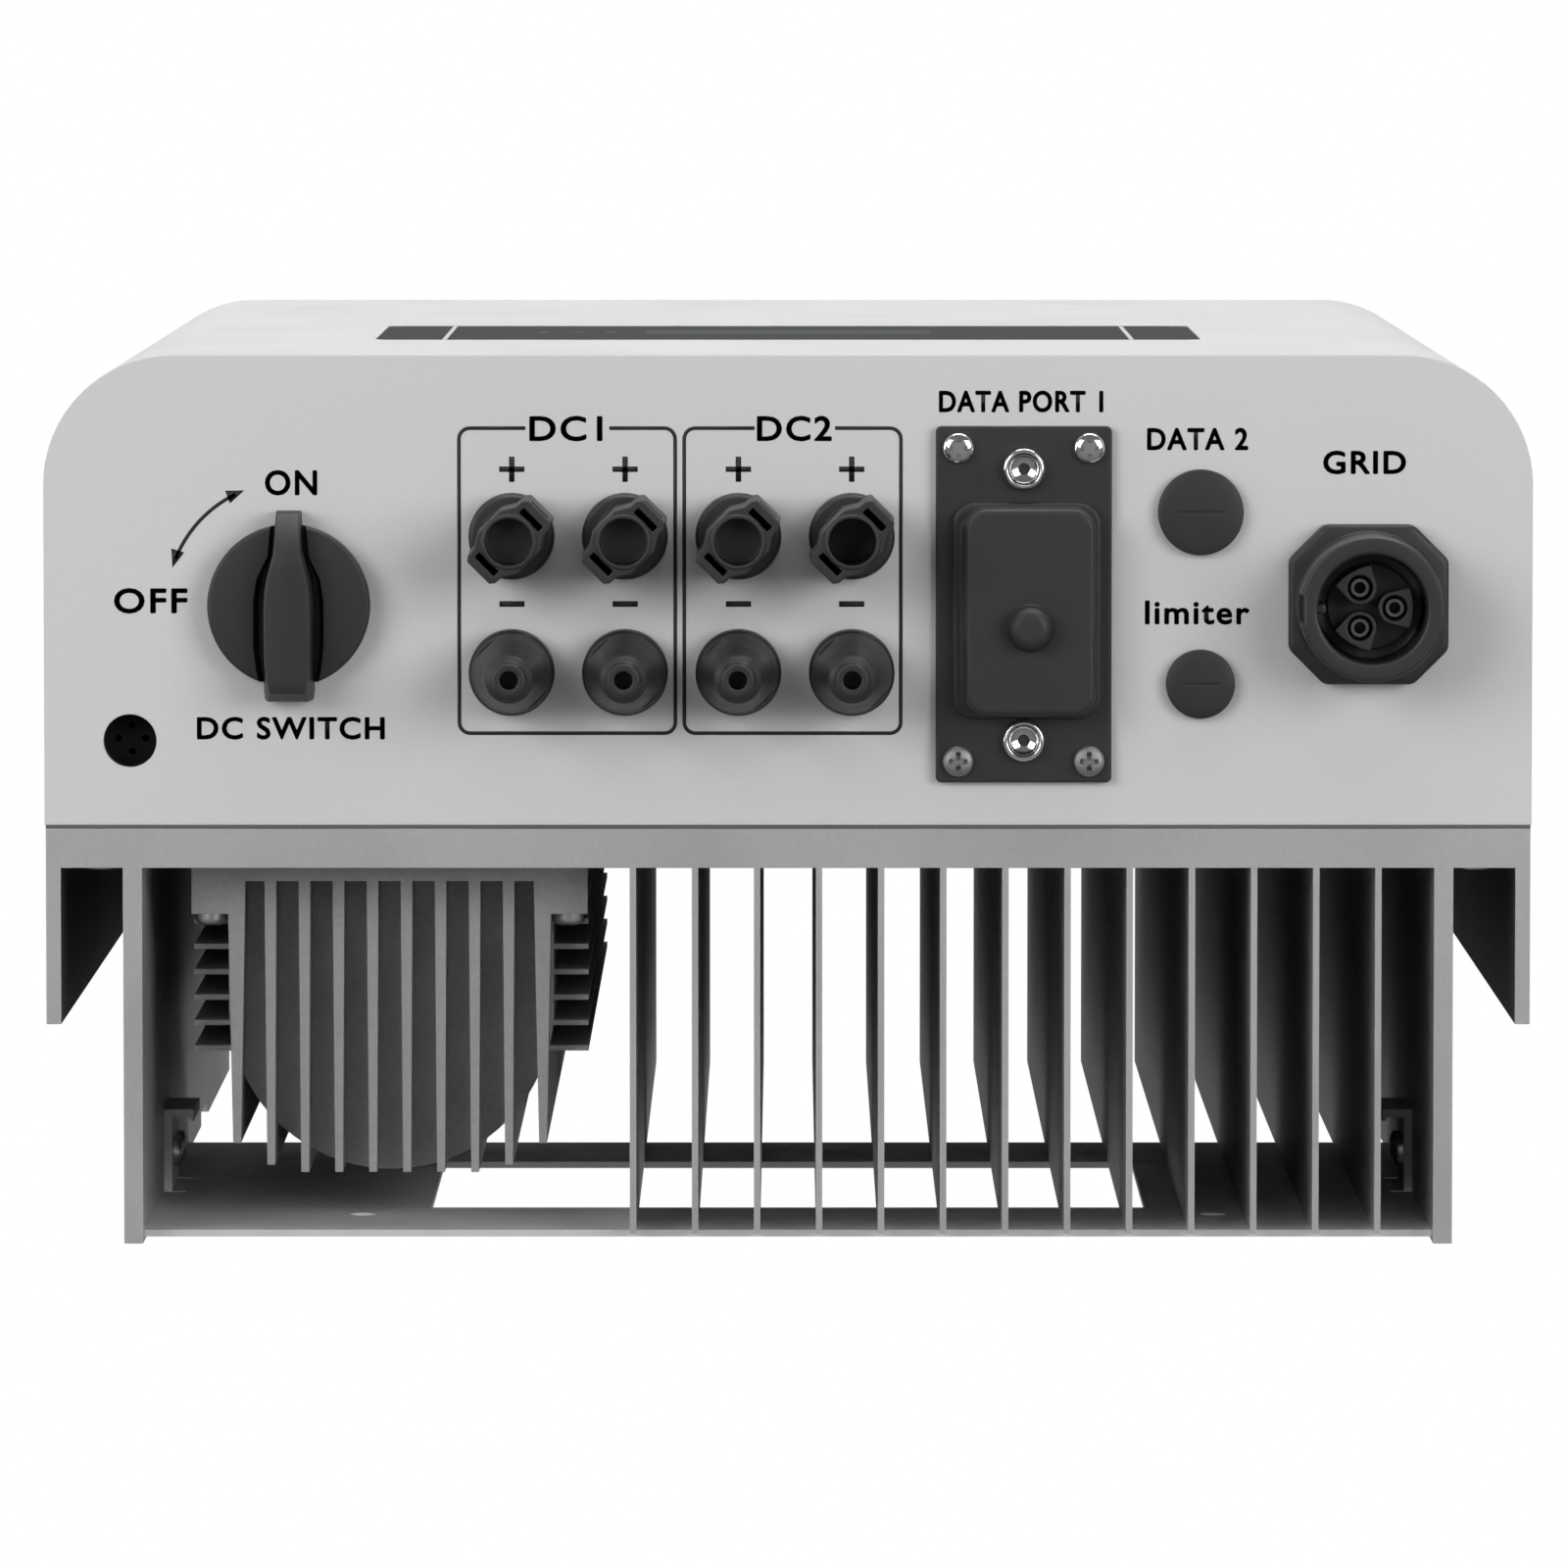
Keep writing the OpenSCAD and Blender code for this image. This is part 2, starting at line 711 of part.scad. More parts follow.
module rear_plate() {
    tab_y = rear_y - tab_d;
    color("darkgray") placed() difference() {
        union() {
            block([-side_fin_in, rear_y, rear_z], [side_fin_in, rear_y + rear_t, rear_z + rear_h]);
            for (s = [-1, 1]) {
                mirror([s < 0 ? 1 : 0, 0, 0]) {
                    block([side_fin_in - tab_t, tab_y, tab_z], [side_fin_in, rear_y + eps, tab_z + tab_h]);
                    block([side_fin_in - tab_t - tab_lip_w, tab_y, tab_z],
                          [side_fin_in - tab_t + eps, tab_y + tab_lip_t, tab_z + tab_h]);
                    block([side_fin_in - tab_t - tab_lip_w, tab_y + tab_lip_t - eps, tab_z],
                          [side_fin_in - tab_t - tab_lip_w + 0.8, tab_y + tab_lip_t + 0.7, tab_z + tab_h]);
                }
            }
        }
        block([-window_w / 2, rear_y - 1, window_z],
              [window_w / 2, rear_y + rear_t + 1, window_z + window_h]);
        for (s = [-1, 1]) {
            translate([s * fixing_spacing / 2, rear_y - 1, fixing_z]) pointing_to_wall()
                cylinder(h = rear_t + 2, d = fixing_d);
            for (z = [tab_z - tab_relief / 2, tab_z + tab_h + tab_relief / 2]) {
                translate([s * (side_fin_in - 2), rear_y + rear_t / 2, z])
                    cube([6, rear_t + 2, tab_relief], center = true);
            }
            for (z = tab_screw_zs) {
                translate([s * side_fin_in, tab_screw_y, z]) rotate([0, -s * 90, 0])
                    translate([0, 0, -1]) cylinder(h = tab_t + 2, d = tab_screw_d + 2 * thread_gap);
            }
        }
    }
}

module rear_plate_screws() {
    color("silver") placed() {
        for (s = [-1, 1]) {
            for (z = tab_screw_zs) {
                translate([s * (side_fin_in - tab_t), tab_screw_y, z]) rotate([0, -s * 90, 0])
                    cross_screw(tab_screw_d, tab_t + 3, 7, 2.2);
            }
        }
    }
}

// ---------------------------------------------------------------- display

module display_window() {
    color("black") placed() translate([0, display_t + 0.1, display_z + display_h / 2]) pointing_to_front()
        linear_extrude(display_t) rounded_rect(display_w, display_h, display_r);
}

module lcd_module() {
    frame_w = lcd_w + 12;
    frame_h = lcd_h + 14;
    color("darkslategray") placed() {
        translate([0, cover_t + 0.2 + 2.5, lcd_z]) cube([frame_w, 5, frame_h], center = true);
        for (x = [-1, 1]) {
            translate([x * (frame_w / 2 - 3), (cover_t + 5 + display_board_y) / 2, lcd_z])
                cube([4, display_board_y - cover_t - 5, 6], center = true);
        }
    }
}

module display_spacer_places() {
    for (x = [-1, 1]) {
        for (z = [-1, 1]) {
            translate([x * display_spacer_x, 0, display_z + display_h / 2 + z * display_spacer_z]) children();
        }
    }
}

module display_board() {
    mid_z = display_z + display_h / 2;
    color("darkgreen") placed() difference() {
        translate([0, display_board_y + board_t / 2, mid_z])
            cube([display_board_w, board_t, display_board_h], center = true);
        display_spacer_places() translate([0, display_board_y - 1, 0]) pointing_to_wall()
            cylinder(h = board_t + 2, d = 3.2);
    }
}

module display_spacers() {
    color("silver") placed() display_spacer_places() {
        translate([0, cover_t, 0]) pointing_to_wall() hexagon(6, display_board_y - cover_t);
        translate([0, display_board_y - eps, 0]) pointing_to_wall() cylinder(h = board_t + eps, d = 3);
        translate([0, display_board_y + board_t, 0]) pointing_to_wall() cylinder(h = 2, d = 5.6);
    }
}

module status_leds() {
    color("lime") placed() {
        for (x = led_xs) {
            translate([x, display_board_y, lcd_z]) pointing_to_front() {
                cylinder(h = 3, d = led_d + 1);
                cylinder(h = display_board_y - display_t - 0.2, d = led_d);
            }
        }
    }
}

// ---------------------------------------------------------------- DC switch

// Outline of the handle: a narrow pointer end, a broad middle and a broad tail
module handle_outline() {
    tip_w = 5.3;
    mid_w = 10.3;
    tail_w = 9.2;
    polygon([
        [-tip_w / 2, -20.9], [tip_w / 2, -20.9], [tip_w / 2 + 0.3, -12.5],
        [mid_w / 2, -5], [mid_w / 2, 14], [tail_w / 2, 18], [tail_w / 2, 20.4],
        [-tail_w / 2, 20.4], [-tail_w / 2, 18], [-mid_w / 2, 14], [-mid_w / 2, -5], [-tip_w / 2 - 0.3, -12.5]
    ]);
}

module dc_switch_knob() {
    skirt = 0.5;
    color("dimgray") at_panel(switch_x, switch_y) difference() {
        union() {
            hanging_cylinder(knob_d, knob_disc_h - 1 - skirt, -skirt);
            translate([0, 0, -knob_disc_h]) cylinder(h = 1, d1 = knob_d - 2, d2 = knob_d);
            translate([0, 0, -knob_h]) linear_extrude(knob_h - skirt - 1) handle_outline();
        }
        translate([0, 0, -skirt - 8]) cylinder(h = 9, d = shaft_d);
    }
}

module dc_switch_shaft() {
    color("silver") at_panel(switch_x, switch_y) translate([0, 0, -8.5])
        cylinder(h = 8.5 + switch_body_z + shaft_len, d = shaft_d);
}

module dc_switch_rotor() {
    arm_w = 5;
    color("khaki") at_panel(switch_x, switch_y) translate([0, 0, switch_cavity_z + 1]) difference() {
        union() {
            cylinder(h = rotor_h, d = 16);
            for (i = [0 : 3]) {
                translate([0, 0, 3 + i * (rotor_h - 6) / 4]) {
                    cylinder(h = 3, d = rotor_d);
                    translate([-rotor_d / 2 + 1, -arm_w / 2, 0]) cube([rotor_d - 2, arm_w, 6]);
                }
            }
        }
        translate([0, 0, -1]) cylinder(h = rotor_h + 2, d = shaft_d);
    }
}

module dc_switch_body() {
    lug_w = 6;
    running_d = shaft_d + 2 * shaft_gap;
    color("darkslategray") at_panel(switch_x, switch_y) translate([0, 0, switch_body_z]) difference() {
        union() {
            linear_extrude(switch_h) rounded_rect(switch_w, switch_w, 4);
            for (i = [0 : 3]) {
                translate([-switch_w / 2 - 4, -lug_w / 2, 12 + i * 10]) cube([switch_w + 8, lug_w, 2]);
            }
        }
        translate([0, 0, -1]) cylinder(h = switch_h - 3, d = running_d);
        translate([0, 0, 5]) cylinder(h = rotor_h + 2, d = rotor_d + 2);
    }
}

module dc_switch_seal() {
    color("black") at_panel(switch_x, switch_y) translate([0, 0, panel_t]) difference() {
        cylinder(h = switch_body_z - panel_t, d = 30);
        translate([0, 0, -1]) cylinder(h = switch_body_z, d = shaft_d + 2 * slip);
    }
}

// ---------------------------------------------------------------- string plugs

// What every plug has behind the panel: the thread and a smaller tail
module plug_back() {
    cylinder(h = panel_t + plug_nut_h + 2, d = thread_d);
    cylinder(h = panel_t + plug_nut_h + plug_tail_h, d = plug_tail_d);
}

module seal_groove() {
    translate([0, 0, -1]) difference() {
        cylinder(h = 1 + eps, d = collar_d - 1);
        translate([0, 0, -1]) cylinder(h = 3, d = thread_d);
    }
}

// The plus plug: a tube with two latch ears on a diagonal, each with a slot
module plus_plug() {
    ear_w = 8.7;
    ear_l = 19.6;
    slot_w = 5.9;
    slot_t = 1.4;
    slot_r = 6.9;
    tube_d = plus_bore + 2.6;
    color("dimgray") difference() {
        union() {
            hanging_cylinder(collar_d, collar_h);
            hanging_cylinder(tube_d, plus_h);
            rotate([0, 0, -45]) {
                translate([-ear_l / 2, -ear_w / 2, -plus_h + 1]) cube([ear_l, ear_w, plus_h - 2]);
                translate([-tube_d / 2, -tube_d / 2, -plus_h + 1]) cube([tube_d, tube_d, plus_h - 2]);
            }
            plug_back();
        }
        seal_groove();
        hanging_cylinder(plus_bore, plus_bore_h + 1, -plus_h + plus_bore_h);
        hanging_cylinder(plus_bore - 1.2, plus_h - 6, -6);
        translate([0, 0, -plus_h]) cylinder(h = 2 * plus_h, d = contact_d + 2 * thread_gap);
        rotate([0, 0, -45]) {
            for (s = [-1, 1]) {
                translate([s * slot_r - slot_t / 2, -slot_w / 2, -plus_h - 1])
                    cube([slot_t, slot_w, plus_h - 8]);
            }
        }
    }
}

// The minus plug: a cone with two flats that ends in a small round nose
module minus_plug() {
    cone_h = minus_h - collar_h - 3;
    color("dimgray") difference() {
        union() {
            hanging_cylinder(collar_d, collar_h);
            translate([0, 0, -collar_h - cone_h])
                cylinder(h = cone_h + eps, d1 = nose_d + 2.4, d2 = collar_d - 1);
            hanging_cylinder(nose_d, minus_h);
            plug_back();
        }
        seal_groove();
        translate([0, 0, -minus_h - 1]) cylinder(h = 2 * minus_h, d = sleeve_d + 2 * thread_gap);
        translate([0, 0, -minus_h - 1]) cylinder(h = 1 + nose_bore_h, d = nose_bore);
        for (s = [-1, 1]) {
            rotate([0, 0, 45]) translate([s * (collar_d / 2 + 3.4) - 5, -10, -minus_h + 4])
                cube([10, 20, minus_h - collar_h - 6]);
        }
    }
}

module pv_plus(i) {
    at_panel(plug_xs[i], plus_y) plus_plug();
}

module pv_minus(i) {
    at_panel(plug_xs[i], minus_y) minus_plug();
}

module plug_places() {
    for (x = plug_xs) {
        for (y = [plus_y, minus_y]) {
            at_panel(x, y) children();
        }
    }
}

module pv_nuts() {
    color("black") plug_places() translate([0, 0, panel_t]) difference() {
        hexagon(plug_nut_w, plug_nut_h);
        translate([0, 0, -1]) cylinder(h = plug_nut_h + 2, d = thread_d + 2 * thread_gap);
    }
}

module pv_seals() {
    color("black") plug_places() translate([0, 0, -0.95]) difference() {
        cylinder(h = 0.95, d = collar_d - 1.1);
        translate([0, 0, -1]) cylinder(h = 3, d = thread_d + 0.1);
    }
}

// Plus plugs hold a pin and minus plugs hold a socket sleeve
module pv_contacts() {
    tail = panel_t + plug_nut_h + plug_tail_h;
    color("gold") {
        for (x = plug_xs) {
            at_panel(x, plus_y) translate([0, 0, -plus_h + pin_depth])
                cylinder(h = plus_h - pin_depth + tail, d = contact_d);
            at_panel(x, minus_y) translate([0, 0, -minus_h + sleeve_depth])
                cylinder(h = minus_h - sleeve_depth + tail, d = sleeve_d);
        }
    }
}

// A lead: straight up from z0 and then, by a quarter turn, towards the wall to depth y1
module lead(z0, z1, y1) {
    r = lead_bend_r;
    translate([0, 0, z0]) cylinder(h = z1 - r - z0, d = lead_d);
    translate([0, r, z1 - r]) rotate([90, 0, -90])
        rotate_extrude(angle = 90) translate([r, 0]) circle(d = lead_d);
    translate([0, r, z1]) pointing_to_wall() cylinder(h = y1 - r, d = lead_d);
}

module dc_leads() {
    tail = panel_t + plug_nut_h + plug_tail_h;
    color("firebrick") {
        for (x = plug_xs) {
            at_panel(x, plus_y) lead(tail, board_z + 22, board_y - plus_y);
            at_panel(x, minus_y) lead(tail, board_z + 10, board_y - minus_y);
        }
    }
}

// ---------------------------------------------------------------- communication plate

module com_screw_places() {
    for (x = [-1, 1]) {
        for (y = [-1, 1]) {
            translate([com_x + x * com_screw_w / 2, com_y + y * com_screw_l / 2, 0]) children();
        }
    }
}

module com_jack_places() {
    for (y = [-1, 1]) {
        translate([com_x, com_y + y * jack_spacing / 2, 0]) children();
    }
}

module com_plate() {
    color("dimgray") placed() difference() {
        translate([com_x, com_y, 0]) hanging_plate(com_w, com_l, com_t, 1.3);
        translate([com_x, com_y, -com_t - 1]) linear_extrude(com_t + 2)
            rounded_rect(com_hole_w, com_hole_l, 3);
        com_screw_places() translate([0, 0, -com_t - 1])
            cylinder(h = com_t + 2, d = com_screw_d + 2 * thread_gap);
        com_jack_places() translate([0, 0, -com_t - 1])
            cylinder(h = com_t + 2, d = jack_screw_d + 2 * thread_gap);
    }
}

module com_plate_screws() {
    color("silver") placed() com_screw_places() translate([0, 0, -com_t]) pointing_down()
        cross_screw(com_screw_d, com_t + panel_t + 3, 6.8, 2.2);
}

// A jack screw has a round head with a deep hole, so that a plug's own screw can enter it
module com_jack_screws() {
    head_d = 9.2;
    head_h = 2.6;
    color("silver") placed() com_jack_places() translate([0, 0, -com_t]) pointing_down() difference() {
        union() {
            hanging_cylinder(jack_screw_d, com_t + panel_t + 3);
            cylinder(h = head_h, d = head_d);
        }
        translate([0, 0, head_h - 1.2]) cylinder(h = 2, d = head_d - 2);
        translate([0, 0, -3]) cylinder(h = 4.4, d = jack_bore_d);
    }
}

module com_cap() {
    skirt_h = 2.2;
    rim_gap = 0.5;
    hollow_h = com_rim_h + 0.5;
    color("dimgray") placed() translate([com_x, com_y, -com_t]) difference() {
        union() {
            translate([cap_shift / 2, cap_shift, 0]) hanging_plate(cap_w + 4, cap_l + 2, skirt_h, 5);
            translate([cap_shift, cap_shift, 0]) hanging_plate(cap_w, cap_l, cap_h, 5);
            translate([cap_shift, 2 * cap_shift + 2, -cap_h]) hanging_cylinder(cap_knob_d, cap_knob_h - 1.5);
            translate([cap_shift, 2 * cap_shift + 2, -cap_h - cap_knob_h])
                cylinder(h = 1.5 + eps, d1 = cap_knob_d - 3, d2 = cap_knob_d);
        }
        translate([0, 0, eps])
            hanging_plate(com_hole_w + 2 * rim_gap, com_hole_l + 2 * rim_gap, hollow_h, 3.5);
    }
}

module com_gasket() {
    color("black") placed() difference() {
        translate([com_x, com_y, panel_t]) linear_extrude(1) rounded_rect(com_w - 6, com_l - 26, 2);
        translate([com_x, com_y, panel_t - 1]) linear_extrude(3) rounded_rect(com_hole_w, com_hole_l, 3);
    }
}

// The socket's rim comes through the panel and the plate; its flange lies behind the gasket
module com_socket() {
    rim_w = com_hole_w - 2 * slip;
    rim_l = com_hole_l - 2 * slip;
    color("silver") placed() translate([com_x, com_y, 0]) difference() {
        union() {
            translate([0, 0, -com_t - com_rim_h + 1])
                linear_extrude(com_t + com_rim_h + panel_t + 1) rounded_rect(rim_w, rim_l, 2.7);
            translate([0, 0, panel_t + 1]) linear_extrude(9) rounded_rect(com_w - 6, com_l - 26, 2);
        }
        translate([0, 0, -com_t - com_rim_h]) linear_extrude(com_rim_h + com_t + 5) difference() {
            rounded_rect(rim_w - 2.4, rim_l - 2.4, 1.8);
            rounded_rect(rim_w - 10, rim_l - 12, 2);
        }
        for (i = [-2 : 2]) {
            for (s = [-1, 1]) {
                translate([s * 1.6, i * 4, -com_t - com_rim_h]) cylinder(h = 6, d = 1.2, $fn = 24);
            }
        }
    }
}

// ---------------------------------------------------------------- blanking caps

module blanking_cap(d, thread) {
    color("dimgray") {
        hanging_cylinder(d, blank_h - 0.8);
        translate([0, 0, -blank_h]) cylinder(h = 0.8 + eps, d1 = d - 1.4, d2 = d);
        cylinder(h = panel_t + 8, d = thread);
    }
}

module blanking_cap_large() {
    at_panel(blank_x, blank_large_y) blanking_cap(blank_large_d, blank_large_thread);
}

module blanking_cap_small() {
    at_panel(blank_x, blank_small_y) blanking_cap(blank_small_d, blank_small_thread);
}

module blanking_nut(thread) {
    color("black") translate([0, 0, panel_t]) difference() {
        hexagon(thread + 5, 5);
        translate([0, 0, -1]) cylinder(h = 7, d = thread + 2 * thread_gap);
    }
}

module blanking_cap_nuts() {
    at_panel(blank_x, blank_large_y) blanking_nut(blank_large_thread);
    at_panel(blank_x, blank_small_y) blanking_nut(blank_small_thread);
}

// ---------------------------------------------------------------- AC socket

module cut_square(w, cut, h) {
    half = w / 2;
    inner = half - cut;
    translate([0, 0, -h]) linear_extrude(h) polygon([
        [-half, -inner], [-inner, -half], [inner, -half], [half, -inner],
        [half, inner], [inner, half], [-inner, half], [-half, inner]
    ]);
}

module ac_socket() {
    key_w = 2.4;
    rim = 1;
    color("dimgray") at_panel(ac_x, ac_y) {
        difference() {
            union() {
                cut_square(ac_flange_w, ac_flange_cut, ac_flange_h);
                hanging_cylinder(ac_tube_d, ac_tube_h - rim);
                translate([0, 0, -ac_tube_h])
                    cylinder(h = rim + eps, d1 = ac_tube_d - 2 * rim, d2 = ac_tube_d);
                cylinder(h = panel_t + ac_neck_h, d = ac_neck_d);
            }
            translate([0, 0, -ac_tube_h - 1]) cylinder(h = ac_tube_h + 1 + ac_floor_z, d = ac_bore_d);
            translate([0, 0, -ac_tube_h]) cylinder(h = 2 * ac_tube_h, d = ac_plug_d + 2 * thread_gap);
        }
        translate([-ac_bore_d / 2 - 0.5, -key_w / 2, -ac_tube_h + 3])
            cube([2, key_w, ac_tube_h + ac_floor_z - ac_disc_h - 3]);
    }
}

// The insert is the floor of the well; its three petals shroud the contacts
module ac_insert() {
    petal_h = ac_tube_h + ac_floor_z - 6;
    plug_h = panel_t + ac_neck_h - ac_floor_z;
    color("black") at_panel(ac_x, ac_y) translate([0, 0, ac_floor_z]) difference() {
        union() {
            hanging_cylinder(ac_bore_d - 2 * thread_gap, ac_disc_h);
            cylinder(h = plug_h, d = ac_plug_d);
            for (a = ac_angles) {
                rotate([0, 0, a]) {
                    translate([ac_pcd / 2, 0, 0]) hanging_cylinder(ac_petal_d, petal_h);
                    translate([ac_pcd / 2, -ac_petal_d / 2, -petal_h]) cube([3.4, ac_petal_d, petal_h]);
                }
            }
        }
        for (a = ac_angles) {
            rotate([0, 0, a]) translate([ac_pcd / 2, 0, -petal_h - 1]) {
                cylinder(h = petal_h + plug_h + 2, d = ac_contact_d + 2 * thread_gap);
                cylinder(h = petal_h - 2, d = ac_contact_d + 1.4);
            }
        }
    }
}

module ac_contacts() {
    color("gold") at_panel(ac_x, ac_y) {
        for (a = ac_angles) {
            rotate([0, 0, a]) translate([ac_pcd / 2, 0, ac_floor_z - 8]) difference() {
                cylinder(h = 8 - ac_floor_z + panel_t + ac_tail_h, d = ac_contact_d);
                translate([0, 0, -1]) cylinder(h = 8, d = ac_contact_d - 1.4);
            }
        }
    }
}

module ac_nut() {
    nut_w = 34;
    nut_h = 7;
    color("black") at_panel(ac_x, ac_y) translate([0, 0, panel_t]) difference() {
        hexagon(nut_w, nut_h);
        translate([0, 0, -1]) cylinder(h = nut_h + 2, d = ac_neck_d + 2 * thread_gap);
    }
}

module ac_leads() {
    color("sienna") at_panel(ac_x, ac_y) {
        for (a = ac_angles) {
            x = round(50 * ac_pcd * cos(a)) / 100;
            y = round(50 * ac_pcd * sin(a)) / 100;
            translate([x, y, 0]) lead(panel_t + ac_tail_h, board_z + 16 - y, board_y - ac_y - y);
        }
    }
}

// A cup behind the hole in the panel, with a membrane at its bottom
module breather() {
    cup_h = 9;
    color("black") at_panel(breather_x, breather_y) translate([0, 0, panel_t]) difference() {
        cylinder(h = cup_h, d = breather_d + 3);
        translate([0, 0, -1]) cylinder(h = cup_h - 1, d = breather_d);
        for (a = [0 : 90 : 270]) {
            rotate([0, 0, a]) translate([breather_d / 4, 0, 0]) cylinder(h = cup_h + 1, d = 1.6);
        }
    }
}

// ---------------------------------------------------------------- electronics

module power_board() {
    color("darkgreen") placed() difference() {
        block([-board_w / 2, board_y, board_z], [board_w / 2, board_y + board_t, board_z + board_h]);
        standoff_places() translate([0, board_y - 1, 0]) pointing_to_wall()
            cylinder(h = board_t + 2, d = board_screw_d + 2 * thread_gap);
    }
}

module control_corners() {
    for (x = [-1, 1]) {
        for (z = [-1, 1]) {
            translate([x * (control_w / 2 - 5), 0, control_z + z * (control_h / 2 - 5)]) children();
        }
    }
}

// The control board carries its processor, its relays' drivers and a connector for the ribbon cable
module control_board() {
    color("seagreen") placed() {
        translate([0, control_y, control_z]) cube([control_w, board_t, control_h], center = true);
        translate([30, control_y - board_t / 2 - 1, control_z]) cube([22, 2 + eps, 22], center = true);
        translate([-30, control_y - board_t / 2 - 1, control_z + 10]) cube([14, 2 + eps, 10], center = true);
        translate([-30, control_y - board_t / 2 - 1, control_z - 12]) cube([18, 2 + eps, 12], center = true);
        control_corners() translate([0, control_y, 0]) pointing_to_wall() hexagon(6, board_y - control_y);
    }
}

module dc_link_capacitors() {
    rim = 1;
    color("royalblue") placed() {
        for (i = [-2.5 : 2.5]) {
            for (z = link_cap_zs) {
                translate([i * link_cap_pitch, board_y, z]) pointing_to_front() {
                    cylinder(h = link_cap_h - rim, d = link_cap_d);
                    translate([0, 0, link_cap_h - rim - eps])
                        cylinder(h = rim, d1 = link_cap_d, d2 = link_cap_d - 2);
                }
            }
        }
    }
}

module module_places() {
    for (i = [0 : module_n - 1]) {
        translate([(i - (module_n - 1) / 2) * module_pitch, 0, module_z]) children();
    }
}

module power_modules() {
    pin_h = standoff_h - module_d - pad_t;
    color("dimgray") placed() module_places() {
        translate([0, base_y - pad_t - module_d / 2, 0]) cube([module_w, module_d, module_h], center = true);
        for (x = [-1, 1]) {
            for (z = [-1, 1]) {
                translate([x * (module_w / 2 - 4), base_y - pad_t - module_d + eps, z * (module_h / 2 - 5)])
                    pointing_to_front() cylinder(h = pin_h + eps, d = 1.4);
            }
        }
    }
}

module thermal_pads() {
    color("lightpink") placed() module_places() translate([0, base_y - pad_t / 2, 0])
        cube([module_w + 2, pad_t, module_h + 2], center = true);
}

module relays() {
    color("orange") placed() {
        for (x = [-1.5 : 1.5]) {
            translate([board_w / 2 - 52 + x * 24, board_y - 13, board_z + 72])
                cube([19, 26, 28], center = true);
        }
    }
}

// Two ring chokes with their windings stand flat on the board
module emi_chokes() {
    choke_r = 19;
    color("olive") placed() {
        for (x = [-board_w / 2 + 28, board_w / 2 - 60]) {
            translate([x, board_y - 9, board_z + 28]) pointing_to_front() {
                difference() {
                    cylinder(h = 18, r = choke_r, center = true);
                    cylinder(h = 20, r = 8, center = true);
                }
            }
        }
    }
}

module film_capacitors() {
    color("gold") placed() {
        for (i = [0 : 3]) {
            translate([-board_w / 2 + 24 + i * 36, board_y - 15, board_z + 72])
                cube([31, 30, 18], center = true);
        }
    }
}

module board_standoffs() {
    color("goldenrod") placed() standoff_places() translate([0, base_y, 0]) difference() {
        union() {
            pointing_to_front() hexagon(standoff_d, standoff_h);
            pointing_to_wall() cylinder(h = 5.5, d = board_screw_d);
        }
        translate([0, -standoff_h - 1, 0]) pointing_to_wall() cylinder(h = 8, d = board_screw_d - 0.8);
    }
}

module board_screws() {
    color("silver") placed() standoff_places() translate([0, board_y, 0]) pointing_to_front()
        cross_screw(board_screw_d - 1, board_t + 6, 7.4, 2.6);
}

// A flat cable from the back of the display board up to the control board
module ribbon_cable() {
    t = 1;
    low_y = display_board_y + board_t;
    mid_y = low_y + 8;
    low_z = display_z + display_h - 30;
    high_z = control_z + control_h / 2 - 8;
    color("lightsteelblue") placed() {
        block([-ribbon_w / 2, low_y, low_z], [ribbon_w / 2, mid_y, low_z + t]);
        block([-ribbon_w / 2, mid_y - t, low_z], [ribbon_w / 2, mid_y, high_z]);
        block([-ribbon_w / 2, mid_y - t, high_z - t], [ribbon_w / 2, control_y - board_t / 2, high_z]);
    }
}

// ---------------------------------------------------------------- nodes

heat_sink();
front_cover();
bottom_panel();
top_panel();
cover_gasket();
cover_screws();
inductor_housing();
inductor_screws();
inductor_cores();
inductor_windings();
rear_plate();
rear_plate_screws();
display_window();
lcd_module();
display_board();
display_spacers();
status_leds();
dc_switch_knob();
dc_switch_shaft();
dc_switch_rotor();
dc_switch_body();
dc_switch_seal();
pv_plus(0);  // pv_plus_1
pv_plus(1);  // pv_plus_2
pv_plus(2);  // pv_plus_3
pv_plus(3);  // pv_plus_4
pv_minus(0);  // pv_minus_1
pv_minus(1);  // pv_minus_2
pv_minus(2);  // pv_minus_3
pv_minus(3);  // pv_minus_4
pv_nuts();
pv_seals();
pv_contacts();
dc_leads();
com_plate();
com_plate_screws();
com_jack_screws();
com_cap();
com_gasket();
com_socket();
blanking_cap_large();
blanking_cap_small();
blanking_cap_nuts();
ac_socket();
ac_insert();
ac_contacts();
ac_nut();
ac_leads();
breather();
power_board();
control_board();
dc_link_capacitors();
power_modules();
thermal_pads();
relays();
emi_chokes();
film_capacitors();
board_standoffs();
board_screws();
ribbon_cable();
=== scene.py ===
import math

import bmesh
import bpy
from mathutils import Matrix, Vector


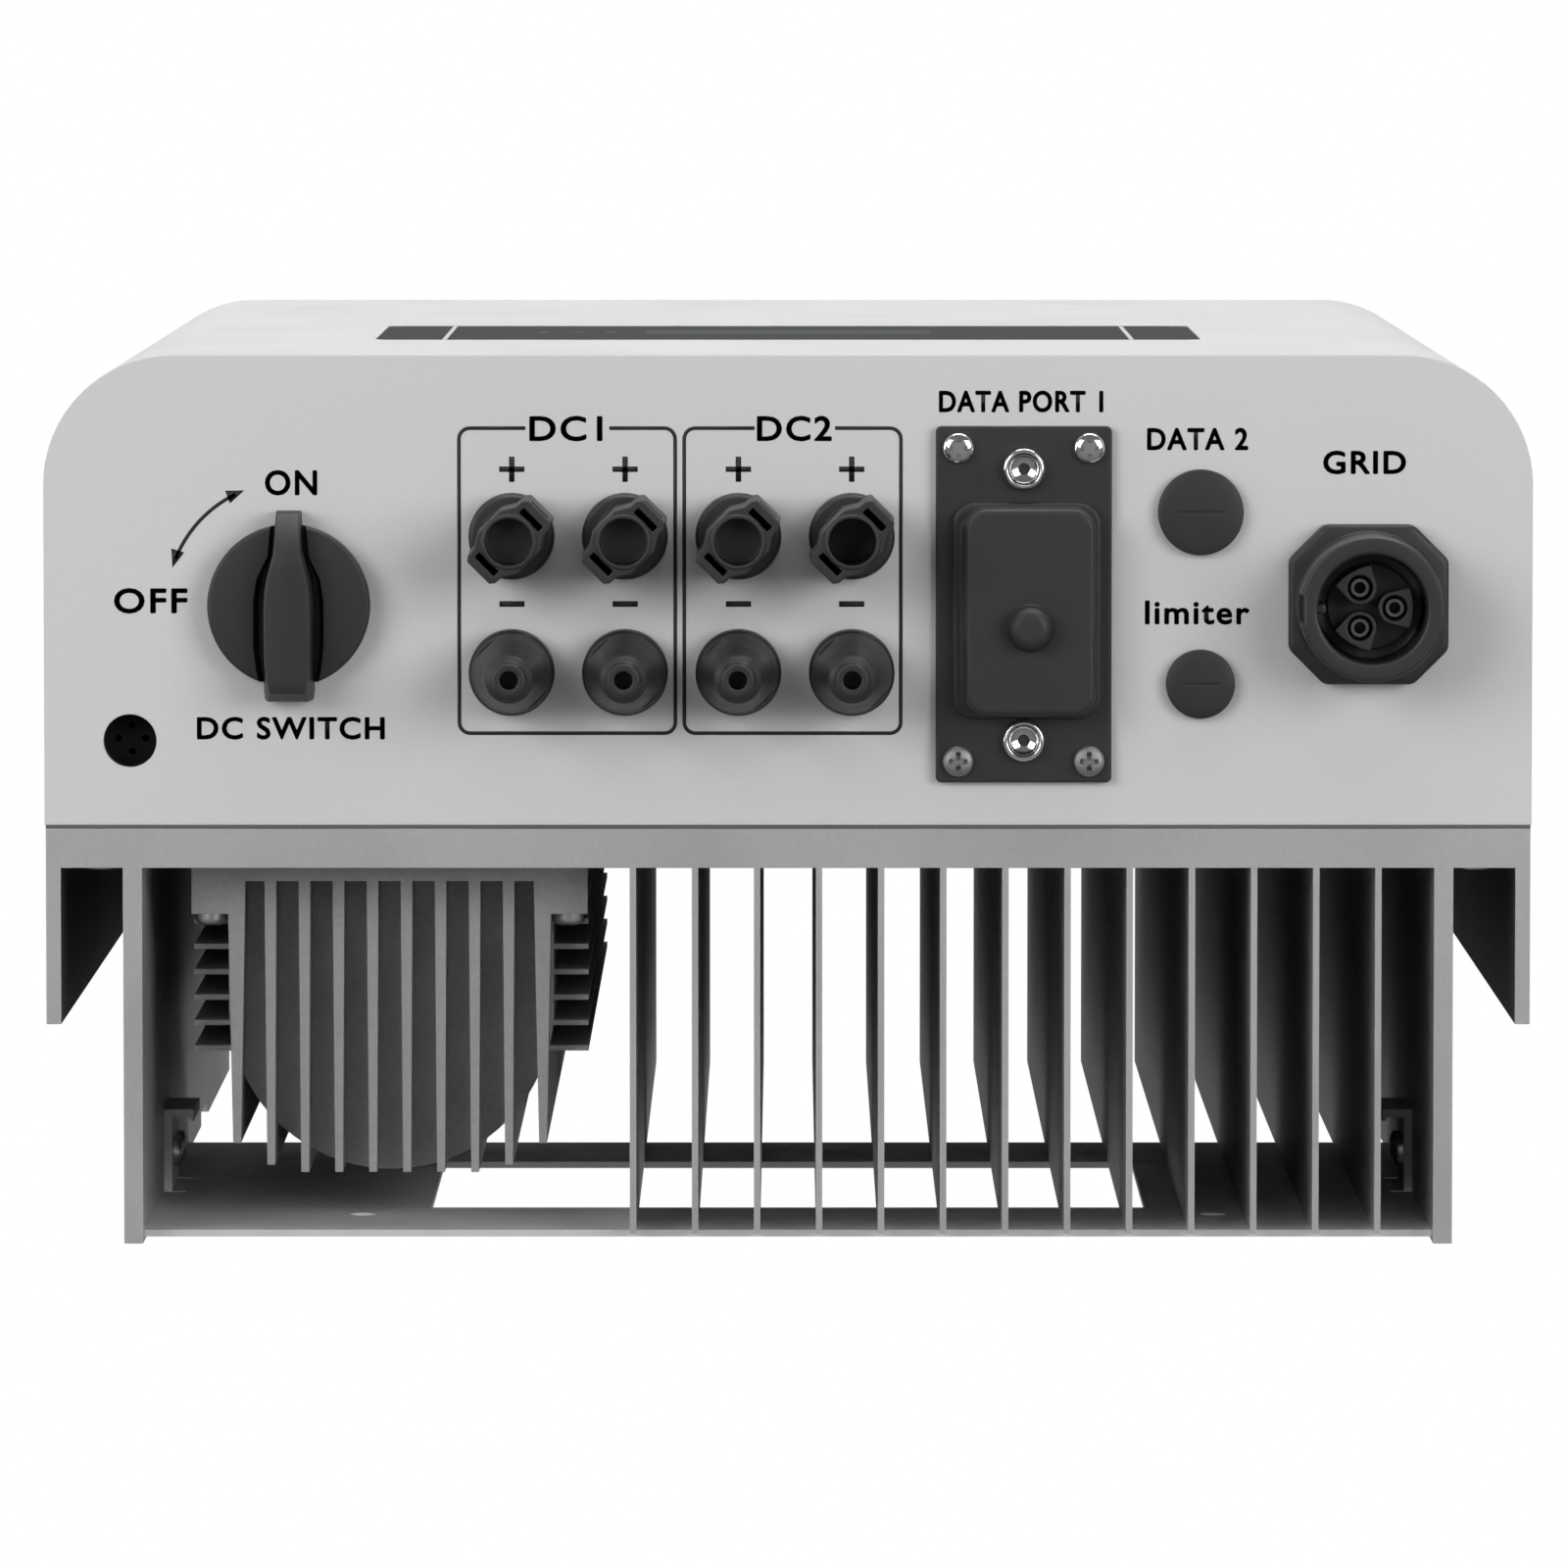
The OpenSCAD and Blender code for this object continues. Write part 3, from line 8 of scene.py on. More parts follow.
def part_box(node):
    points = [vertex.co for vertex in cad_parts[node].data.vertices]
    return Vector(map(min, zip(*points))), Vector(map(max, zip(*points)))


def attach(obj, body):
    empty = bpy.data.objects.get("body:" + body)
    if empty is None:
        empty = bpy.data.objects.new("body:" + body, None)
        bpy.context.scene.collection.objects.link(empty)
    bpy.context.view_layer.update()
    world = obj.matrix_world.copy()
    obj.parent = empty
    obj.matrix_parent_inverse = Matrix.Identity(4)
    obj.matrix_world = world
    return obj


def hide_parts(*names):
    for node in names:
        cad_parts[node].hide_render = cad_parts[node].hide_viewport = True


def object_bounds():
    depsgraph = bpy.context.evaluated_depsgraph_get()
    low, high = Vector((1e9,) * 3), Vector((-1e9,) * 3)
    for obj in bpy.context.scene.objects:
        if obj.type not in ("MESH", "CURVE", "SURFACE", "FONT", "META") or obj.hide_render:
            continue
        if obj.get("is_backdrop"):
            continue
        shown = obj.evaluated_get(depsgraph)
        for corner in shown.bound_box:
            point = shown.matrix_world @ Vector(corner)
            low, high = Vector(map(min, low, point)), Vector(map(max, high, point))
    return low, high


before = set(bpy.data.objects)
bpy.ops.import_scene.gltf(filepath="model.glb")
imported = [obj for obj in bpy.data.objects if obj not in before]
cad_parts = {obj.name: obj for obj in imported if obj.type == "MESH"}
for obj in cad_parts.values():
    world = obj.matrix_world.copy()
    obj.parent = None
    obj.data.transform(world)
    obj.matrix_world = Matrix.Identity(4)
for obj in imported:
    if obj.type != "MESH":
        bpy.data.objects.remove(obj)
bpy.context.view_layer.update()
scene = bpy.context.scene
mm = 0.001


# ---------------------------------------------------------------- camera and studio
# The inverter hangs on a wall, and the camera looks almost straight up at its connector end
# from a little in front of the cover. The studio is white, with a pale floor far below.

front_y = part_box("front_cover")[0].y
panel_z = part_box("bottom_panel")[0].z
lens_mm = 273.2
camera_drop = 2.634
camera_ahead = 0.0912
aim_depth = 0.0951

camera = bpy.data.objects.new("camera", bpy.data.cameras.new("camera"))
scene.collection.objects.link(camera)
scene.camera = camera
camera.data.lens = lens_mm
camera.data.sensor_width = 36
camera.data.clip_start = 0.05
camera.data.clip_end = 60
camera.location = (0, front_y - camera_ahead, panel_z - camera_drop)
aim = Vector((-0.9 * mm, front_y + aim_depth, panel_z))
look = (aim - camera.location).normalized()
up = Vector((1, 0, 0)).cross(look).normalized()
across = look.cross(up)
camera.rotation_euler = Matrix((across, up, -look)).transposed().to_euler()

scene.view_settings.view_transform = "Standard"
scene.view_settings.look = "None"


def softbox(name, place, width, height, watts):
    lamp = bpy.data.lights.new(name, "AREA")
    lamp.shape = "RECTANGLE"
    lamp.size = width
    lamp.size_y = height
    lamp.energy = watts
    holder = bpy.data.objects.new(name, lamp)
    scene.collection.objects.link(holder)
    holder.location = place
    towards = Vector((0, -0.1, 0)) - Vector(place)
    holder.rotation_euler = towards.to_track_quat("-Z", "Y").to_euler()
    holder.visible_camera = False


softbox("front_softbox", (0.3, -3.0, 0.2), 3.0, 2.4, 96)
softbox("low_left_softbox", (-1.5, -0.9, -2.3), 1.2, 1.6, 25)
softbox("low_right_softbox", (1.6, -0.7, -2.3), 1.2, 1.6, 27)
softbox("left_softbox", (-2.6, -0.6, -0.4), 1.4, 2.0, 18)
softbox("wall_side_softbox", (1.6, 2.4, 1.6), 2.0, 2.0, 24)

world = bpy.data.worlds.new("studio")
scene.world = world
world.use_nodes = True
sky = world.node_tree
sky.nodes.clear()
sight = sky.nodes.new("ShaderNodeLightPath")
backdrop = sky.nodes.new("ShaderNodeBackground")
backdrop.inputs["Color"].default_value = (1, 1, 1, 1)
fill = sky.nodes.new("ShaderNodeBackground")
fill.inputs["Color"].default_value = (0.98, 0.99, 1, 1)
heading = sky.nodes.new("ShaderNodeTexCoord")
height_of = sky.nodes.new("ShaderNodeSeparateXYZ")
shade = sky.nodes.new("ShaderNodeMapRange")
shade.inputs["From Min"].default_value = -0.25
shade.inputs["From Max"].default_value = 0.75
shade.inputs["To Min"].default_value = 0.44
shade.inputs["To Max"].default_value = 0.10
sky.links.new(heading.outputs["Generated"], height_of.inputs["Vector"])
sky.links.new(height_of.outputs["Z"], shade.inputs["Value"])
sky.links.new(shade.outputs["Result"], fill.inputs["Strength"])
blend = sky.nodes.new("ShaderNodeMixShader")
sky_out = sky.nodes.new("ShaderNodeOutputWorld")
sky.links.new(sight.outputs["Is Camera Ray"], blend.inputs["Fac"])
sky.links.new(fill.outputs["Background"], blend.inputs[1])
sky.links.new(backdrop.outputs["Background"], blend.inputs[2])
sky.links.new(blend.outputs["Shader"], sky_out.inputs["Surface"])

floor_size = 14
floor_z = -6.2
floor_mesh = bpy.data.meshes.new("floor")
corners = ((-1, -1), (1, -1), (1, 1), (-1, 1))
floor_mesh.from_pydata([(x * floor_size, y * floor_size, floor_z) for x, y in corners], [], [(0, 1, 2, 3)])
floor = bpy.data.objects.new("floor", floor_mesh)
scene.collection.objects.link(floor)
pale = bpy.data.materials.new("pale_floor")
pale.use_nodes = True
pale.node_tree.nodes["Principled BSDF"].inputs["Base Color"].default_value = (0.86, 0.86, 0.86, 1)
pale.node_tree.nodes["Principled BSDF"].inputs["Roughness"].default_value = 0.9
seen = pale.node_tree.nodes.new("ShaderNodeLightPath")
pale_shader = pale.node_tree.nodes["Principled BSDF"]
pale_shader.inputs["Emission Color"].default_value = (0.7, 0.7, 0.7, 1)
pale.node_tree.links.new(seen.outputs["Is Camera Ray"], pale_shader.inputs["Emission Strength"])
floor_mesh.materials.append(pale)
floor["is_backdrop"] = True


# ---------------------------------------------------------------- heat sink
# One aluminium extrusion, sawn off at both ends and left bare: base plate, thin fins, two side
# fins that hang on the wall bracket and two outer flanges. Die lines run along its length.


def add(tree, kind, values=None, feeds=None, **settings):
    made = tree.nodes.new(kind)
    for key, value in settings.items():
        setattr(made, key, value)
    for key, value in (values or {}).items():
        made.inputs[key].default_value = value
    for key, socket in (feeds or {}).items():
        tree.links.new(socket, made.inputs[key])
    return made


def group(name, inputs, outputs):
    tree = bpy.data.node_groups.new(name, "ShaderNodeTree")
    for label, kind, value in inputs:
        socket = tree.interface.new_socket(name=label, in_out="INPUT", socket_type=kind)
        socket.default_value = value
    for label, kind in outputs:
        tree.interface.new_socket(name=label, in_out="OUTPUT", socket_type=kind)
    return tree, tree.nodes.new("NodeGroupInput"), tree.nodes.new("NodeGroupOutput")


number = "NodeSocketFloat"
arrow = "NodeSocketVector"

# Grain: fine noise that can be stretched along any axis, and a broad cloudiness
grain, given, out = group(
    "grain",
    [("Stretch", arrow, (1000, 1000, 1000)), ("Cloud Size", number, 25.0)],
    [("Fine", number), ("Cloud", number)],
)
place = add(grain, "ShaderNodeTexCoord")
spread = add(grain, "ShaderNodeVectorMath", operation="MULTIPLY")
grain.links.new(place.outputs["Object"], spread.inputs[0])
grain.links.new(given.outputs["Stretch"], spread.inputs[1])
fine = add(
    grain, "ShaderNodeTexNoise", {"Scale": 1.0, "Detail": 3.0}, {"Vector": spread.outputs["Vector"]}
)
cloud = add(
    grain,
    "ShaderNodeTexNoise",
    {"Detail": 2.0},
    {"Vector": place.outputs["Object"], "Scale": given.outputs["Cloud Size"]},
)
grain.links.new(fine.outputs["Fac"], out.inputs["Fine"])
grain.links.new(cloud.outputs["Fac"], out.inputs["Cloud"])

# Eased edge: rounds every sharp edge by a small radius, and marks where it does
eased_edge, given, out = group(
    "eased_edge", [("Radius", number, 0.0004)], [("Normal", arrow), ("Edge", number)]
)
rounding = add(eased_edge, "ShaderNodeBevel", feeds={"Radius": given.outputs["Radius"]}, samples=4)
facing = add(eased_edge, "ShaderNodeNewGeometry")
turn = add(eased_edge, "ShaderNodeVectorMath", operation="DOT_PRODUCT")
eased_edge.links.new(rounding.outputs["Normal"], turn.inputs[0])
eased_edge.links.new(facing.outputs["Normal"], turn.inputs[1])
edge = add(
    eased_edge,
    "ShaderNodeMapRange",
    {"From Min": 1.0, "From Max": 0.75, "To Min": 0.0, "To Max": 1.0},
    {"Value": turn.outputs["Value"]},
)
eased_edge.links.new(rounding.outputs["Normal"], out.inputs["Normal"])
eased_edge.links.new(edge.outputs["Result"], out.inputs["Edge"])


def finish(
    name, tone, tone_2, rough, metal=0.0, stretch=(1500, 1500, 1500), cloud_size=25.0,
    depth=0.01, edge_radius=0.0, edge_tone=None, **sockets
):
    """A material whose colour goes from tone to tone_2 with the grain and whose roughness clouds."""
    made = bpy.data.materials.new(name)
    made.use_nodes = True
    tree = made.node_tree
    shader = tree.nodes["Principled BSDF"]
    shader.inputs["Metallic"].default_value = metal
    for key, value in sockets.items():
        shader.inputs[key.replace("_", " ")].default_value = value
    texture = tree.nodes.new("ShaderNodeGroup")
    texture.node_tree = grain
    texture.inputs["Stretch"].default_value = stretch
    texture.inputs["Cloud Size"].default_value = cloud_size
    tint = add(tree, "ShaderNodeMix", feeds={"Factor": texture.outputs["Fine"]}, data_type="RGBA")
    tint.inputs["A"].default_value = (*tone, 1)
    tint.inputs["B"].default_value = (*tone_2, 1)
    colour = tint.outputs["Result"]
    gloss = add(
        tree,
        "ShaderNodeMapRange",
        {"From Min": 0.3, "From Max": 0.7, "To Min": rough[0], "To Max": rough[1]},
        {"Value": texture.outputs["Cloud"]},
    )
    tree.links.new(gloss.outputs["Result"], shader.inputs["Roughness"])
    relief = add(
        tree,
        "ShaderNodeBump",
        {"Distance": depth * mm, "Strength": 1.0},
        {"Height": texture.outputs["Fine"]},
    )
    if edge_radius:
        soft = tree.nodes.new("ShaderNodeGroup")
        soft.node_tree = eased_edge
        soft.inputs["Radius"].default_value = edge_radius * mm
        tree.links.new(soft.outputs["Normal"], relief.inputs["Normal"])
        # edge_tone recolours the eased edges: on most finishes it is a lighter tone, a painted highlight
        # along the edge; on the boards, the capacitor cans and the rear plate it is the edge's own colour
        if edge_tone:
            edge_colour_and_highlight = add(tree, "ShaderNodeMix", data_type="RGBA")
            tree.links.new(soft.outputs["Edge"], edge_colour_and_highlight.inputs["Factor"])
            tree.links.new(colour, edge_colour_and_highlight.inputs["A"])
            edge_colour_and_highlight.inputs["B"].default_value = (*edge_tone, 1)
            colour = edge_colour_and_highlight.outputs["Result"]
    tree.links.new(colour, shader.inputs["Base Color"])
    tree.links.new(relief.outputs["Normal"], shader.inputs["Normal"])
    return made


def coat_node(node, material):
    """Gives a CAD node that stays as it is one material."""
    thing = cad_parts[node]
    thing.data.materials.clear()
    thing.data.materials.append(material)


bare_extrusion = finish(
    "bare_extrusion", (0.50, 0.50, 0.51), (0.60, 0.60, 0.61), (0.45, 0.53), metal=1.0,
    stretch=(1400, 1400, 5), depth=0.02, edge_radius=0.25, edge_tone=(0.7, 0.7, 0.7)
)

# Painted light and shade by facing and place: the long faces that the die drew are brightened 1.3 times
# between the side fins and darkened to 0.42 in the two outer channels, while the sawn ends keep about
# their tone
drawn = bare_extrusion.node_tree
shader = drawn.nodes["Principled BSDF"]
surface = add(drawn, "ShaderNodeNewGeometry")
parts = add(drawn, "ShaderNodeSeparateXYZ", feeds={"Vector": surface.outputs["True Normal"]})
upright = add(drawn, "ShaderNodeMath", operation="ABSOLUTE")
drawn.links.new(parts.outputs["Z"], upright.inputs[0])
painted_facing_light = add(
    drawn,
    "ShaderNodeMapRange",
    {"From Min": 0.3, "From Max": 0.8, "To Max": 1.02},
    {"Value": upright.outputs["Value"]},
)
where = add(drawn, "ShaderNodeTexCoord")
across_case = add(drawn, "ShaderNodeSeparateXYZ", feeds={"Vector": where.outputs["Object"]})
from_middle = add(drawn, "ShaderNodeMath", operation="ABSOLUTE")
drawn.links.new(across_case.outputs["X"], from_middle.inputs[0])
channel_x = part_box("heat_sink")[1].x - 18 * mm
# Painted shade: past channel_x, in the two outer channels, the long faces are darkened by position alone
painted_channel_shade = add(
    drawn,
    "ShaderNodeMapRange",
    {"From Min": channel_x - mm, "From Max": channel_x + mm, "To Min": 1.3, "To Max": 0.42},
    {"Value": from_middle.outputs["Value"]},
)
drawn.links.new(painted_channel_shade.outputs["Result"], painted_facing_light.inputs["To Min"])
painted_light_and_shade = add(drawn, "ShaderNodeHueSaturation", feeds={"Value": painted_facing_light.outputs["Result"]})
drawn.links.new(shader.inputs["Base Color"].links[0].from_socket, painted_light_and_shade.inputs["Color"])
drawn.links.new(painted_light_and_shade.outputs["Color"], shader.inputs["Base Color"])
coat_node("heat_sink", bare_extrusion)


# ---------------------------------------------------------------- cover and end panels
# The front cover is bent from aluminium sheet and closed by two flat end panels. All three are
# powder coated in a light grey with a faint orange peel. A dark gasket seals them to the heat sink.

powder_coat = finish(
    "powder_coat", (0.70, 0.70, 0.70), (0.73, 0.73, 0.725), (0.42, 0.52),
    stretch=(900, 900, 900), depth=0.012, edge_radius=0.5, edge_tone=(0.76, 0.76, 0.76),
    Coat_Weight=0.08, Coat_Roughness=0.3
)
for sheet_part in ("front_cover", "bottom_panel", "top_panel"):
    coat_node(sheet_part, powder_coat)

seal_rubber = finish("seal_rubber", (0.035, 0.035, 0.036), (0.05, 0.05, 0.05), (0.65, 0.8), depth=0.02)
gasket_grey = finish("gasket_grey", (0.10, 0.10, 0.10), (0.14, 0.14, 0.14), (0.6, 0.75), depth=0.02)
coat_node("cover_gasket", gasket_grey)


# ---------------------------------------------------------------- cross-recessed screws
# Pan head machine screws: the cover's, the inductor housing's, the rear plate's and the boards'
# are zinc plated. On the communication plate the upper two are polished and the lower two matt.

zinc_plate = finish(
    "zinc_plate", (0.52, 0.52, 0.53), (0.62, 0.62, 0.62), (0.28, 0.42), metal=1.0, cloud_size=900.0,
    depth=0.006
)
polished_steel = finish(
    "polished_steel", (0.80, 0.80, 0.80), (0.85, 0.85, 0.85), (0.06, 0.12), metal=1.0, cloud_size=600.0,
    depth=0.002
)


def solids_of(node):
    """Lowest and highest corners of each separate solid of a node, in metres."""
    bm = bmesh.new()
    bm.from_mesh(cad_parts[node].data)
    bmesh.ops.remove_doubles(bm, verts=bm.verts, dist=0.002 * mm)
    unseen = set(bm.verts)
    found = []
    while unseen:
        start = unseen.pop()
        solid = [start]
        for vert in solid:
            for e in vert.link_edges:
                other = e.other_vert(vert)
                if other in unseen:
                    unseen.remove(other)
                    solid.append(other)
        spans = [[v.co[i] for v in solid] for i in range(3)]
        found.append((Vector([min(q) for q in spans]), Vector([max(q) for q in spans])))
    bm.free()
    return sorted(found, key=lambda pair: tuple(round(c, 4) for c in pair[0]))


def eased(points, radius, steps=4):
    """An open line of 2-D points with its corners rounded."""
    line = [Vector(points[0])]
    for before, at, after in zip(points, points[1:], points[2:]):
        corner = Vector(at)
        back, on = Vector(before) - corner, Vector(after) - corner
        reach = min(radius, back.length * 0.45, on.length * 0.45)
        p, q = corner + back.normalized() * reach, corner + on.normalized() * reach
        for i in range(steps + 1):
            t = i / steps
            line.append((1 - t) ** 2 * p + 2 * t * (1 - t) * corner + t * t * q)
    return line + [Vector(points[-1])]


def skin(bm, loops, closed_ends=True):
    """Joins loops of points into one surface. A loop of one point is a tip."""
    rings = [[bm.verts.new(p) for p in loop] for loop in loops]
    for a, b in zip(rings, rings[1:]):
        count = max(len(a), len(b))
        for i in range(count):
            j = (i + 1) % count
            quad = [a[i % len(a)], a[j % len(a)], b[j % len(b)], b[i % len(b)]]
            corner_verts = list(dict.fromkeys(quad))
            if len(corner_verts) > 2:
                bm.faces.new(corner_verts)
    if closed_ends:
        for ring in (rings[0], rings[-1]):
            if len(ring) > 2:
                bm.faces.new(ring)


def turned(bm, place, profile, steps=72):
    """A lathe part: profile is (radius, height) in mm, place puts (x, y, height) into the frame."""
    angles = [2 * math.pi * i / steps for i in range(steps)]
    loops = []
    for radius, height in profile:
        if radius < 1e-5:
            loops.append([place(0, 0, height)])
        else:
            loops.append([place(radius * math.cos(a), radius * math.sin(a), height) for a in angles])
    skin(bm, loops)


def piece(name, bm, material, body, smooth_angle=32):
    """Turns mesh code into a piece that rides on a body."""
    bmesh.ops.recalc_face_normals(bm, faces=bm.faces)
    mesh = bpy.data.meshes.new(name)
    bm.to_mesh(mesh)
    bm.free()
    mesh.shade_smooth()
    mesh.set_sharp_from_angle(angle=math.radians(smooth_angle))
    mesh.materials.append(material)
    made = bpy.data.objects.new(name, mesh)
    scene.collection.objects.link(made)
    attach(made, body)
    return made


def carve(thing, cutters, ease=0.0):
    """Cuts closed meshes out of a piece and then eases its edges by ease, in mm."""
    bmesh.ops.recalc_face_normals(cutters, faces=cutters.faces)
    tool = bpy.data.objects.new("cutter", bpy.data.meshes.new("cutter"))
    cutters.to_mesh(tool.data)
    cutters.free()
    scene.collection.objects.link(tool)
    cut = thing.modifiers.new("cut", "BOOLEAN")
    cut.object = tool
    cut.solver = "EXACT"
    cut.use_self = True
    graph = bpy.context.evaluated_depsgraph_get()
    carved = bpy.data.meshes.new_from_object(thing.evaluated_get(graph))
    thing.modifiers.remove(cut)
    thing.data = carved
    bpy.data.objects.remove(tool)
    if ease:
        soft = thing.modifiers.new("ease", "BEVEL")
        soft.width = ease * mm
        soft.segments = 2
        soft.limit_method = "ANGLE"
        soft.angle_limit = math.radians(35)
        soft.harden_normals = True


def box_in(bm, place, low, high):
    """A box between two corners given in mm."""
    x0, y0, z0 = low
    x1, y1, z1 = high
    loops = [[place(x, y, z) for x, y in ((x0, y0), (x1, y0), (x1, y1), (x0, y1))] for z in (z0, z1)]
    skin(bm, loops)


def screw_mesh(head_d, head_h, shank_d, shank_l):
    """One pan head screw along +Z with its head's seat at 0, as a mesh in metres."""
    def at(x, y, z):
        return Vector((x, y, z)) * mm

    bm = bmesh.new()
    dome = []
    for degrees in (0, 15, 30, 45, 60, 75):
        a = math.radians(degrees)
        dome.append((head_d / 2 * math.cos(a) ** 0.7, head_h * (0.5 + 0.5 * math.sin(a))))
    dome.append((0, head_h))
    turned(bm, at, [(0, -shank_l), (shank_d / 2, -shank_l), (shank_d / 2, 0), (head_d / 2, 0)] + dome, 40)
    bmesh.ops.recalc_face_normals(bm, faces=bm.faces)
    mesh = bpy.data.meshes.new("screw")
    bm.to_mesh(mesh)
    bm.free()
    thing = bpy.data.objects.new("screw", mesh)
    scene.collection.objects.link(thing)
    arm, blade = head_d * 0.33, head_d * 0.08
    cross = bmesh.new()
    for long_x, long_y in ((arm, blade), (blade, arm)):
        top, bottom = head_h * 1.2, head_h * 0.3
        loops = []
        for z, share in ((bottom, 0.55), (top, 1.1)):
            x = long_x * share if long_x > long_y else long_x
            y = long_y * share if long_y > long_x else long_y
            loops.append([at(-x, -y, z), at(x, -y, z), at(x, y, z), at(-x, y, z)])
        skin(cross, loops)
    carve(thing, cross)
    mesh = thing.data
    bpy.data.objects.remove(thing)
    return mesh


def screws(name, node, axis, sizes, material, pick=None):
    """One screw for each solid of a CAD node, its head towards axis: 'z-', 'y+', 'y-' or 'x'.

    sizes are the head's diameter and height and the shank's diameter and length, in mm.
    """
    pattern = screw_mesh(*sizes)
    bm = bmesh.new()
    for low, high in (pick or solids_of(node)):
        middle = (low + high) / 2
        if axis == "z-":
            seat = Vector((middle.x, middle.y, low.z + sizes[1] * mm))
            turn = Matrix.Rotation(math.pi, 4, "X")
        elif axis == "y+":
            seat = Vector((middle.x, high.y - sizes[1] * mm, middle.z))
            turn = Matrix.Rotation(-math.pi / 2, 4, "X")
        elif axis == "y-":
            seat = Vector((middle.x, low.y + sizes[1] * mm, middle.z))
            turn = Matrix.Rotation(math.pi / 2, 4, "X")
        else:
            side = -1 if middle.x > 0 else 1
            tip = high.x if side > 0 else low.x
            seat = Vector((tip - side * sizes[1] * mm, middle.y, middle.z))
            turn = Matrix.Rotation(side * math.pi / 2, 4, "Y")
        copy = pattern.copy()
        copy.transform(Matrix.Translation(seat) @ turn)
        bm.from_mesh(copy)
        bpy.data.meshes.remove(copy)
    return piece(name, bm, material, "case", 40)


cover_screw_heads = screws("cover_screw_set", "cover_screws", "y+", (9.2, 2.8, 5, 11), zinc_plate)
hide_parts("cover_screws")


# ---------------------------------------------------------------- inductor housing
# A die cast aluminium trough, ribbed along its length, that is screwed to the heat sink by a
# flange. It holds three ring cores, each wound with enamelled copper wire.

die_casting = finish(
    "die_casting", (0.33, 0.33, 0.335), (0.43, 0.43, 0.43), (0.5, 0.68), metal=0.6,
    stretch=(700, 700, 700), cloud_size=60.0, depth=0.05, edge_radius=0.4, edge_tone=(0.5, 0.5, 0.5)
)
coat_node("inductor_housing", die_casting)
housing_screws = screws(
    "inductor_screw_set", "inductor_screws", "y+", (7.4, 3, 5, 16), zinc_plate
)
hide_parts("inductor_screws")

ferrite_grey = finish("ferrite_grey", (0.05, 0.05, 0.055), (0.09, 0.09, 0.09), (0.5, 0.7), depth=0.03)
coat_node("inductor_cores", ferrite_grey)


def wound_wire(name, tone, dark, pitch):
    """Enamelled wire laid turn by turn, so it shows as rounded bands across the height: each band's colour
    darkens towards its edges, a painted shade in the creases between turns, over a bump that rounds it.
    """
    made = finish(name, tone, tone, (0.25, 0.4), metal=1.0, depth=0.01)
    tree = made.node_tree
    shader = tree.nodes["Principled BSDF"]
    where = add(tree, "ShaderNodeTexCoord")
    bands = add(
        tree, "ShaderNodeTexWave", {"Scale": 0.314 / (pitch * mm), "Distortion": 0.2},
        {"Vector": where.outputs["Object"]}, bands_direction="X"
    )
    # Painted shade: the colour goes from the dark tone between turns to the full tone on each turn's crown
    painted_turn_shade = add(tree, "ShaderNodeMix", feeds={"Factor": bands.outputs["Fac"]}, data_type="RGBA")
    painted_turn_shade.inputs["A"].default_value = (*dark, 1)
    painted_turn_shade.inputs["B"].default_value = (*tone, 1)
    relief = add(tree, "ShaderNodeBump", {"Distance": 0.4 * mm}, {"Height": bands.outputs["Fac"]})
    tree.links.new(painted_turn_shade.outputs["Result"], shader.inputs["Base Color"])
    tree.links.new(relief.outputs["Normal"], shader.inputs["Normal"])
    return made


enamelled_copper = wound_wire("enamelled_copper", (0.55, 0.20, 0.07), (0.16, 0.05, 0.02), 1.6)
coat_node("inductor_windings", enamelled_copper)


# ---------------------------------------------------------------- rear plate
# Galvanised sheet steel behind the fins, with a window for the wall bracket, two fixing holes and
# two tabs that are bent forward and screwed to the side fins.

galvanised_sheet = finish(
    "galvanised_sheet", (0.62, 0.62, 0.625), (0.70, 0.70, 0.70), (0.42, 0.6), metal=0.1,
    stretch=(160, 160, 160), cloud_size=90.0, depth=0.004, edge_radius=0.2, edge_tone=(0.6, 0.6, 0.6)
)
coat_node("rear_plate", galvanised_sheet)
tab_screws = screws(
    "rear_plate_screw_set", "rear_plate_screws", "x", (7, 2.2, 4, 4.8), zinc_plate
)
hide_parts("rear_plate_screws")


# ---------------------------------------------------------------- display
# A black glass window on the cover, printed from behind. A clear field shows the liquid crystal
# module, three small symbols show the status lamps, and a board carries both on spacers.

black_glass = finish(
    "black_glass", (0.009, 0.009, 0.010), (0.012, 0.012, 0.013), (0.06, 0.10),
    depth=0.0, edge_radius=0.25, edge_tone=(0.05, 0.05, 0.05), Coat_Weight=1.0, Coat_Roughness=0.04
)
coat_node("display_window", black_glass)
glass_low, glass_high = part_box("display_window")
lcd_low, lcd_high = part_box("lcd_module")
print_y = glass_low.y - 0.04 * mm
side_rim = 6 * mm
end_rim = 7 * mm
side_line_x = 79.2 * mm
side_line_half_w = 0.5 * mm
side_line_gap = 4 * mm
lamp_symbol_r = 1.5 * mm


def on_glass(x0, z0, x1, z1):
    """A thin slip of print on the glass, between two corners in metres."""
    bm = bmesh.new()
    loops = [[(x0, y, z0), (x1, y, z0), (x1, y, z1), (x0, y, z1)] for y in (glass_low.y, print_y)]
    skin(bm, [[Vector(q) for q in loop] for loop in loops])
    return bm


